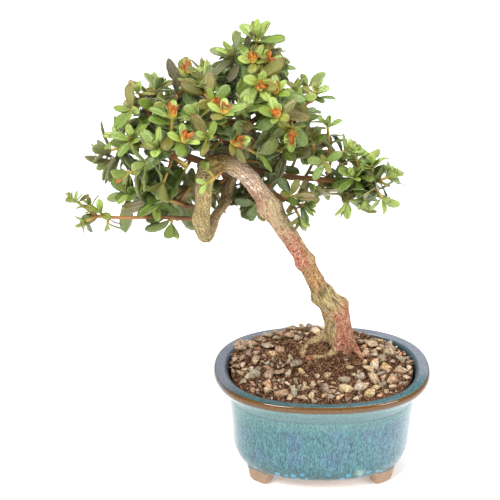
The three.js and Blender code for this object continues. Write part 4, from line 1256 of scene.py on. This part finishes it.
def read_branches():
    seed, wanted = 1000, 0
    for branch in branches:
        points = tree_of([from_row @ vert.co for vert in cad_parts[branch["name"]].data.vertices])
        branch["plan"] = []
        for x, y, z, leaf_length, leaf_count, lift, *bud in branch["shoots"]:
            seed += 97
            draw = draw_numbers(seed)
            shoot = Shoot(branch["limbs"], (x, y, z), leaf_length, leaf_count, lift, bool(bud), draw)
            found = [find_leaf(points, shoot, *pair) for pair in zip(shoot.leaves, shoot.bases)]
            shoot.kept = [leaf for leaf in found if leaf]
            wanted += leaf_count
            branch["plan"].append(shoot)
    return sum(len(shoot.kept) for branch in branches for shoot in branch["plan"]), wanted


print("leaves found in the solids, of those in the rule:", read_branches())

# %% [markdown]
# ## One leaf
# A satsuki leaf is a small spoon: narrow at its stalk, widest past the middle, round at the end, folded
# a little along the midrib and pale and hairy at the edge and underneath. It is one grid, copied for the
# underside and merged round the rim, so it is a closed blade with few faces. Its UV map runs along and
# across the blade, and the underside's map is moved aside by 2, so that the finish can tell it.

# %% Leaf template
# Along the leaf, and its width there over the greatest one.
leaf_rows = [(0, 0.07), (0.13, 0.27), (0.34, 0.74), (0.58, 1), (0.8, 0.88), (0.94, 0.52), (1, 0.06)]
leaf_half_width, leaf_thickness = 0.23, 0.03


def make_leaf_template():
    last_row = len(leaf_rows) - 1
    bm = bmesh.new()
    bmesh.ops.create_grid(bm, x_segments=4, y_segments=last_row, size=1)
    blade_map = bm.loops.layers.uv.new("blade")
    for face in bm.faces:
        for loop in face.loops:
            loop[blade_map].uv = ((loop.vert.co.x + 1) / 2, (loop.vert.co.y + 1) / 2)
    copied = bmesh.ops.duplicate(bm, geom=bm.faces[:])["geom"]
    under = [item for item in copied if isinstance(item, bmesh.types.BMFace)]
    bmesh.ops.reverse_faces(bm, faces=under)
    for face in under:
        for loop in face.loops:
            loop[blade_map].uv.x += 2
    under_verts = {vert for face in under for vert in face.verts}
    for vert in bm.verts:
        row = round((vert.co.y + 1) * last_row / 2)
        side = vert.co.x
        along, share = leaf_rows[row]
        thick = vert in under_verts and 0 < row < last_row
        thickness = leaf_thickness * (1 - abs(side) ** 3) if thick else 0
        vert.co = Vector((side * share * leaf_half_width, along, -thickness))
    bmesh.ops.remove_doubles(bm, verts=bm.verts, dist=1e-5)
    return to_mesh("leaf_template", bm)


leaf_template = make_leaf_template()
print("leaf template:", len(leaf_template.polygons), "faces")


# %% Setting a leaf
def set_leaf(bm, base, ways, length, dice, tint, droop=0.16, width=1.0, finish=0):
    """Bends a copy of the template to a blade. Its first point lies a little inside the twig."""
    along, edge, face = ways
    fold = dice.uniform(0.18, 0.42)
    twist = dice.uniform(-0.35, 0.35)
    wave, phase = dice.uniform(0.0, 0.03), dice.uniform(0, math.tau)
    curl = droop * dice.uniform(0.85, 1.15)

    def place(co):
        aside, forward = co.x * width, co.y
        out, turn = abs(aside), twist * forward
        lift = fold * out - 0.5 * out ** 2 + wave * math.sin(9 * forward + phase) * out * 4 + co.z
        x = aside * math.cos(turn) - lift * math.sin(turn)
        z = aside * math.sin(turn) + lift * math.cos(turn) - curl * forward * forward
        return base + (edge * x + along * forward + face * z) * length

    fresh = stamp(bm, leaf_template, place, finish)
    paint(bm, fresh, "tint", tint)
    return fresh


# %% [markdown]
# ## Buds
# A flower bud stands at the end of many shoots, wrapped in a few pointed scales: yellow-green at the
# foot, orange, and brown where they dry at the tip. They are narrow leaves that stand nearly upright and
# curl inwards, round a small core.

# %% Setting a bud
scale_count, scale_droop, scale_width = 5, -0.18, 0.75


def set_bud(bm, shoot, dice):
    size = dice.uniform(7, 9.5)

    def tint(place):
        """A random number, and the height in the bud."""
        return dice.random(), max(0, (place - shoot.tip).dot(shoot.aim) / size), 0

    rings = ((-1, 1.1), (0.6, 1.7), (2.6, 2.1), (size * 0.55, 1.5), (size * 0.85, 0.5))
    core = [[*(shoot.tip + shoot.aim * height), radius] for height, radius in rings]
    paint(bm, stamp_tube(bm, smooth_line(core, 6), 7, finish=2), "tint", tint)
    for i in range(scale_count):
        turn = shoot.first_turn + leaf_turn * i + dice.uniform(-20, 20)
        ways = shoot.blade_frame(turn, dice.uniform(62, 82), dice.uniform(-14, 14))
        base = shoot.tip + shoot.aim * dice.uniform(-0.5, 1.5)
        length = size * dice.uniform(0.8, 1.1)
        scale = set_leaf(bm, base, ways, length, dice, (dice.random(), 0, 0), scale_droop, scale_width, 2)
        paint(bm, scale, "tint", tint)


# %% [markdown]
# ## Finishes of the branches
# Young leaves at the shoot ends are pale and bright, old ones dark green, and a few in the open have
# turned bronze. Leaves far inside the crown are made darker still, as painted shade. The tint attribute
# carries a random number, the age with that painted shade, and the bronze, and the UV map draws midrib,
# side veins and the pale edge with its fine hair. Whitish patches over the blade are partly pale hair and
# partly painted sheen.

# %% Leaf finish
def make_leaf_finish():
    shader = Shader("leaf")
    chance, age, bronze = shader.tint()
    across, along, _ = shader.split(shader.node("ShaderNodeUVMap", {"uv_map": "blade"}))
    underside = across.fade(1.4, 1.6)
    aside = abs(across - underside * 2 - 0.5) * 2
    position = shader.place()
    mottle = shader.noise(position, 0.5, 3, 0.6)
    hair_and_sheen_noise = shader.noise(position, 1.1, 3, 0.8)
    # The green darkens with the age, which for leaves also carries painted shade inside the crown.
    green = shader.ramp(
        age + 0.25 * (mottle - 0.5), (0.0, (176, 200, 94)), (0.3, (114, 143, 40)), (0.62, (58, 84, 15)),
        (1.0, (22, 35, 4)))
    veins = (along * 34 + aside * 7).sine().fade(0.75, 1.0) * aside.fade(1.0, 0.8)
    midrib = aside.fade(0.09, 0.03)
    edge = (aside + 0.2 * (hair_and_sheen_noise - 0.5)).fade(0.86, 1.0)
    # Pale hair at the edge; the whitish patches over the blade are partly pale hair and partly painted sheen.
    hairs_and_sheen = (edge * 0.45).at_least(hair_and_sheen_noise.fade(0.56, 0.7) * 0.34)
    dried = along.fade(0.6, 1.0) * chance.fade(0.6, 0.8) * chance.fade(1.0, 0.9)
    colour = shader.layers(
        green, (chance.fade(0.5, 0.95) * 0.6, (144, 112, 50)),
        (bronze, shader.mix(chance, (72, 56, 46), (96, 84, 56))), (veins * 0.2, (170, 184, 120)),
        (midrib * 0.36, (170, 184, 104)), (mottle.fade(0.44, 0.3) * 0.45, (44, 60, 16)),
        (hairs_and_sheen, (210, 212, 150)), (dried * 0.6, (128, 84, 44)), (along.fade(0.3, 0.05) * 0.6, (196, 168, 74)))
    colour = shader.mix(underside, colour, shader.mix(0.4, colour, (156, 166, 108)))
    relief = shader.bump(veins * 0.4 - midrib * 0.8 + hair_and_sheen_noise * 0.4 + mottle * 0.8, 0.5, 0.9)
    return shader.finish(
        Base_Color=colour, Roughness=mottle * 0.2 + 0.24, Normal=relief, Specular_IOR_Level=0.8)


# %% Twig and bud finishes
def make_twig_finish():
    """Green-yellow where the shoot is young, brown where it is old."""
    shader = Shader("twig")
    _, age, _ = shader.tint()
    position = shader.place()
    mottle = shader.noise(position, 0.6, 3, 0.6)
    scales = shader.noise(position, 2.2, 3, 0.7)
    colour = shader.ramp(
        age + 0.3 * (mottle - 0.5), (0.0, (186, 170, 80)), (0.4, (184, 130, 70)), (0.7, (138, 92, 58)),
        (1.0, (98, 68, 48)))
    colour = shader.mix(scales.fade(0.5, 0.7) * 0.4, colour, (196, 168, 130))
    return shader.finish(Base_Color=colour, Roughness=0.75, Normal=shader.bump(scales, 0.5, 0.8))


def make_bud_finish():
    shader = Shader("bud")
    _, height, _ = shader.tint()
    mottle = shader.noise(shader.place(), 1.1, 3, 0.6)
    colour = shader.ramp(
        height + 0.35 * (mottle - 0.5), (0.0, (172, 180, 68)), (0.4, (232, 200, 96)),
        (0.68, (226, 154, 72)), (1.0, (176, 100, 50)))
    return shader.finish(Base_Color=colour, Roughness=0.5, Normal=shader.bump(mottle, 0.4, 0.6))


branch_finishes = [make_leaf_finish(), make_twig_finish(), make_bud_finish()]

# %% [markdown]
# ## Filling the crown
# The solids hold about five leaves to a shoot. A living shoot has more: old leaves lower on its twig, a
# tuft of young ones at its end, and the limbs bear small side twigs. They are all set by the same kind
# of rule. Leaves that would hang before the arch of the trunk are left out, because the grower keeps it
# open to view.

# %% Ages, painted shade in the crown, and open places
# The middle of the crown, and how far from it leaves get painted shade.
crown_heart, crown_reach = Vector((-62, 4, 246)), 58
young_above, ageing_drop = 264, 70
window_x, window_height, window_front = (-94, -30), (152, 210), -20
view_up, view_back = 0.891, 0.454     # how much height and depth add to a point's height in the view


def leaf_age_and_shade(point, inner):
    """0 for the youngest leaf and 1 for the oldest. Leaves low are older; leaves far inside the crown are
    pushed towards 1 as painted shade.
    """
    low = clamp((young_above - point.z) / ageing_drop)
    flattened = Vector((point.x, 0.6 * point.y, point.z))
    # Painted shade: the nearer a leaf is to the middle of the crown, the darker it is made, as if older.
    crown_shade = clamp(1 - (flattened - crown_heart).length / crown_reach)
    return clamp(0.25 + 0.3 * low + 0.55 * crown_shade - 0.4 * inner)


def hides_arch(point):
    seen_height = view_up * point.z + view_back * point.y
    return (point.y < window_front and window_x[0] < point.x < window_x[1]
            and window_height[0] < seen_height < window_height[1])


def leaf_clear(base, ways, length):
    return not any(hides_arch(base + ways[0] * length * share) for share in (0, 0.5, 1))


# %% Twigs and leaves of a shoot
golden_turn = 137.5                   # degrees from one leaf to the next along a twig
twig_radii = (1.25, 1.05, 0.95)


def tint_tube(bm, verts, young, old, start, end):
    """Old wood at the start and young wood at the end."""
    length = max((end - start).length, 1e-6)
    paint(bm, verts, "tint", lambda co: (0.5, old + (young - old) * clamp((co - start).length / length), 0))


def grow_twig(bm, shoot, dice):
    bend = shoot.towards(dice.uniform(0, 360)) * dice.uniform(0.2, 0.9)
    points = (shoot.start, (shoot.start + shoot.tip) / 2 + bend, shoot.tip)
    line = smooth_line([[*point, radius] for point, radius in zip(points, twig_radii)], 7)
    tint_tube(bm, stamp_tube(bm, line, 7, finish=1), 0.0, 0.75, shoot.start, shoot.tip)


def grow_leaves(bm, shoot, dice, bronze):
    """The leaves that the solid holds too."""
    for base, ways, length, inner in shoot.kept:
        chance, age = dice.random(), leaf_age_and_shade(base, inner) + dice.uniform(-0.12, 0.12)
        tint = (chance, age, bronze * dice.uniform(0.5, 1))
        set_leaf(bm, base, ways, length, dice, tint, width=dice.uniform(0.96, 1.2) - 0.3 * bronze)


def grow_extra_leaves(bm, shoot, dice, old_leaves, young_leaves, bronze):
    reach = (shoot.tip - shoot.start).length
    for i in range(old_leaves):
        down = min(4.5 + 2.3 * i, reach * 0.85)
        turn = shoot.first_turn + 36 + golden_turn * i + dice.uniform(-20, 20)
        ways = shoot.blade_frame(turn, dice.uniform(-10, 32), dice.uniform(-20, 20))
        length = shoot.leaf_length * dice.uniform(0.9, 1.2)
        base = shoot.start + (shoot.tip - shoot.start) * (1 - down / max(reach, 1))
        if leaf_clear(base, ways, length):
            age = leaf_age_and_shade(base, -0.3) + dice.uniform(-0.1, 0.15)
            width, droop = dice.uniform(0.95, 1.25) - 0.3 * bronze, dice.uniform(0.05, 0.3)
            set_leaf(bm, base, ways, length, dice, (dice.random(), age, bronze), droop, width)
    for i in range(young_leaves):
        turn = shoot.first_turn + 36 + golden_turn * i + dice.uniform(-15, 15)
        ways = shoot.blade_frame(turn, dice.uniform(50, 80), dice.uniform(-12, 12))
        length = shoot.leaf_length * dice.uniform(0.42, 0.7)
        base = shoot.tip - shoot.aim * 0.6
        if leaf_clear(base, ways, length):
            age = leaf_age_and_shade(base, 0.9) + dice.uniform(-0.05, 0.1)
            set_leaf(bm, base, ways, length, dice, (dice.random(), age, 0), dice.uniform(-0.1, 0.1),
                     dice.uniform(0.8, 1))


# %% Small shoots that the solids don't hold
def grow_small_shoot(bm, shoot, dice):
    grow_twig(bm, shoot, dice)
    for (turn, tilt, length, roll, inner), base in zip(shoot.leaves, shoot.bases):
        ways = shoot.blade_frame(turn, tilt - 8, roll)
        if leaf_clear(base, ways, length):
            age = leaf_age_and_shade(base, inner * 0.6) + dice.uniform(-0.1, 0.15)
            set_leaf(bm, base, ways, length, dice, (dice.random(), age, 0), dice.uniform(0.05, 0.25),
                     dice.uniform(0.9, 1.1))


def grow_side_twigs(bm, branch, count, dice):
    """Short twigs with leaves of their own, spread along the limbs."""
    last = 40
    mean = sum(shoot.leaf_length for shoot in branch["plan"]) / len(branch["plan"])
    for i in range(count):
        limb = branch["limbs"][i % len(branch["limbs"])]
        points = smooth_line(limb[1], last)
        place = round(last * (0.2 + 0.75 * (i + 0.5) / count))
        start = Vector(points[place])
        ahead = (Vector(points[min(place + 1, last)]) - Vector(points[place - 1])).normalized()
        out = Vector((dice.uniform(-1, 1), dice.uniform(-1, 1), dice.uniform(-0.5, 0.9)))
        out = (out - ahead * out.dot(ahead)).normalized() * 0.9 + ahead * 0.3
        tip = start + out.normalized() * dice.uniform(9, 17)
        draw = draw_numbers(dice.randrange(10 ** 6))
        shoot = Shoot([limb], tip, mean * dice.uniform(0.9, 1.1), 5, dice.uniform(0, 0.5), False, draw)
        shoot.start = start
        grow_small_shoot(bm, shoot, dice)


# %% Growing all branches
def grow_limbs(bm, limbs):
    for (thick, thin), line in limbs:
        last = len(line) - 1
        marked = [[*point, thick + (thin - thick) * i / last] for i, point in enumerate(line)]
        fresh = stamp_tube(bm, smooth_line(marked, 8 * last), 10, finish=1,
                           swell=lambda place: 0.25 * noise.noise(place * 0.5))
        tint_tube(bm, fresh, 0.55, 1.0, Vector(line[0]), Vector(line[-1]))


def grow_branch(branch, seed):
    dice = random.Random(seed)
    bm = bmesh.new()
    bm.loops.layers.uv.new("blade")
    tint = bm.verts.layers.float_color.new("tint")
    grow_limbs(bm, branch["limbs"])
    twigs, old, young = branch["fullness"]
    for place, shoot in enumerate(branch["plan"]):
        bronze = 1.0 if place in branch.get("bronze", ()) else 0.0
        grow_twig(bm, shoot, dice)
        grow_leaves(bm, shoot, dice, bronze)
        if shoot.has_bud or place in branch.get("late_buds", ()):
            for side in range(3):
                set_bud(bm, shoot.leaning(shoot.first_turn + 120 * side, dice.uniform(14, 24)), dice)
        grow_extra_leaves(bm, shoot, dice, old, 1 if shoot.has_bud else young, bronze)
    grow_side_twigs(bm, branch, twigs, dice)
    for tip in branch.get("hanging", ()):
        draw = draw_numbers(dice.randrange(10 ** 6))
        grow_small_shoot(bm, Shoot(branch["limbs"], tip, 18, 6, -0.2, False, draw), dice)
    for vert in bm.verts:
        vert[tint].y -= branch.get("fresh", 0)
    hand_over(f"leafy_{branch['name']}", bm, branch_finishes, "foliage", branch["name"])


for seed, branch in enumerate(branches, 4000):
    grow_branch(branch, seed)

# %% [markdown]
# ## Drain screens
# Two squares of plastic mesh lie over the drain holes and keep the peat in. Their solids have the right
# shape already, so they stay and only get a moulded plastic finish.

# %% Plastic finish
def make_plastic():
    shader = Shader("screen_plastic")
    pits = shader.noise(shader.place(), 2.0, 3, 0.6)
    colour = shader.shades(pits, (0.3, 0.7), (36, 36, 38), (56, 56, 58))
    return shader.finish(Base_Color=colour, Roughness=pits * 0.2 + 0.5, Normal=shader.bump(pits, 0.1, 0.5))


plastic = make_plastic()
for node in ("drain_screen_left", "drain_screen_right"):
    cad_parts[node].data.materials.clear()
    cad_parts[node].data.materials.append(plastic)

# %% [markdown]
# ## The studio
# The tree stands on a pale table in soft light from large boxes above, left and right, so the glaze
# shows broad soft reflections and the ground a faint shadow. The floor is a wide plain sheet.

# %% Floor
def make_paper():
    shader = Shader("floor")
    colour = shader.mix(shader.noise(shader.place(), 0.05, 2), (246, 246, 246), (250, 250, 250))
    return shader.finish(Base_Color=colour, Roughness=0.9, Specular_IOR_Level=0.1, Emission_Color=colour,
                         Emission_Strength=0.3)


sheet = bmesh.new()
bmesh.ops.create_grid(sheet, x_segments=1, y_segments=1, size=6)
floor = add_object("floor", to_mesh("floor", sheet))
floor.data.materials.append(make_paper())
floor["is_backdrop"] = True


# %% Lights
light_aim = Vector((0, 0, 0.15))


def soft_box(name, place, size, watts):
    light = bpy.data.lights.new(name, "AREA")
    light.shape, light.size, light.energy = "SQUARE", size, watts
    box = add_object(name, light)
    box.location = place
    box.rotation_euler = (light_aim - Vector(place)).to_track_quat("-Z", "Y").to_euler()


soft_box("key", (-0.8, -1.3, 1.7), 0.7, 37)
soft_box("fill", (1.3, -1.0, 1.0), 0.7, 15)
soft_box("top", (0.1, 0.5, 2.0), 1.2, 27)

world = bpy.data.worlds.new("studio")
world.use_nodes = True
background = world.node_tree.nodes["Background"].inputs
background["Color"].default_value, background["Strength"].default_value = (1, 1, 1, 1), 0.5
bpy.context.scene.world = world
bpy.context.scene.view_settings.view_transform = "Standard"
print("lights:", len(bpy.data.lights))

# %% [markdown]
# ## The camera
# The tree is seen a little from above, from far away, so a long lens keeps its shape true.

# %% Camera
look_down, lens_angle = 27, 16        # degrees
camera_place = Vector((-49.24, -1051.66, 702.82))

lens = bpy.data.cameras.new("camera")
lens.angle = math.radians(lens_angle)
camera = add_object("camera", lens)
camera.location = to_row @ camera_place
camera.rotation_euler = (math.radians(90 - look_down), 0, 0)
bpy.context.scene.camera = camera
print("camera at", [round(value, 3) for value in camera.location])

# %% [markdown]
# ## Last look at the size
# A dressed piece must not outgrow its solid. The box of all that is shown is written here; the CAD box was
# written at the start.

# %% Sizes
bpy.context.view_layer.update()
look_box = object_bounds()
print_box("visual", look_box)
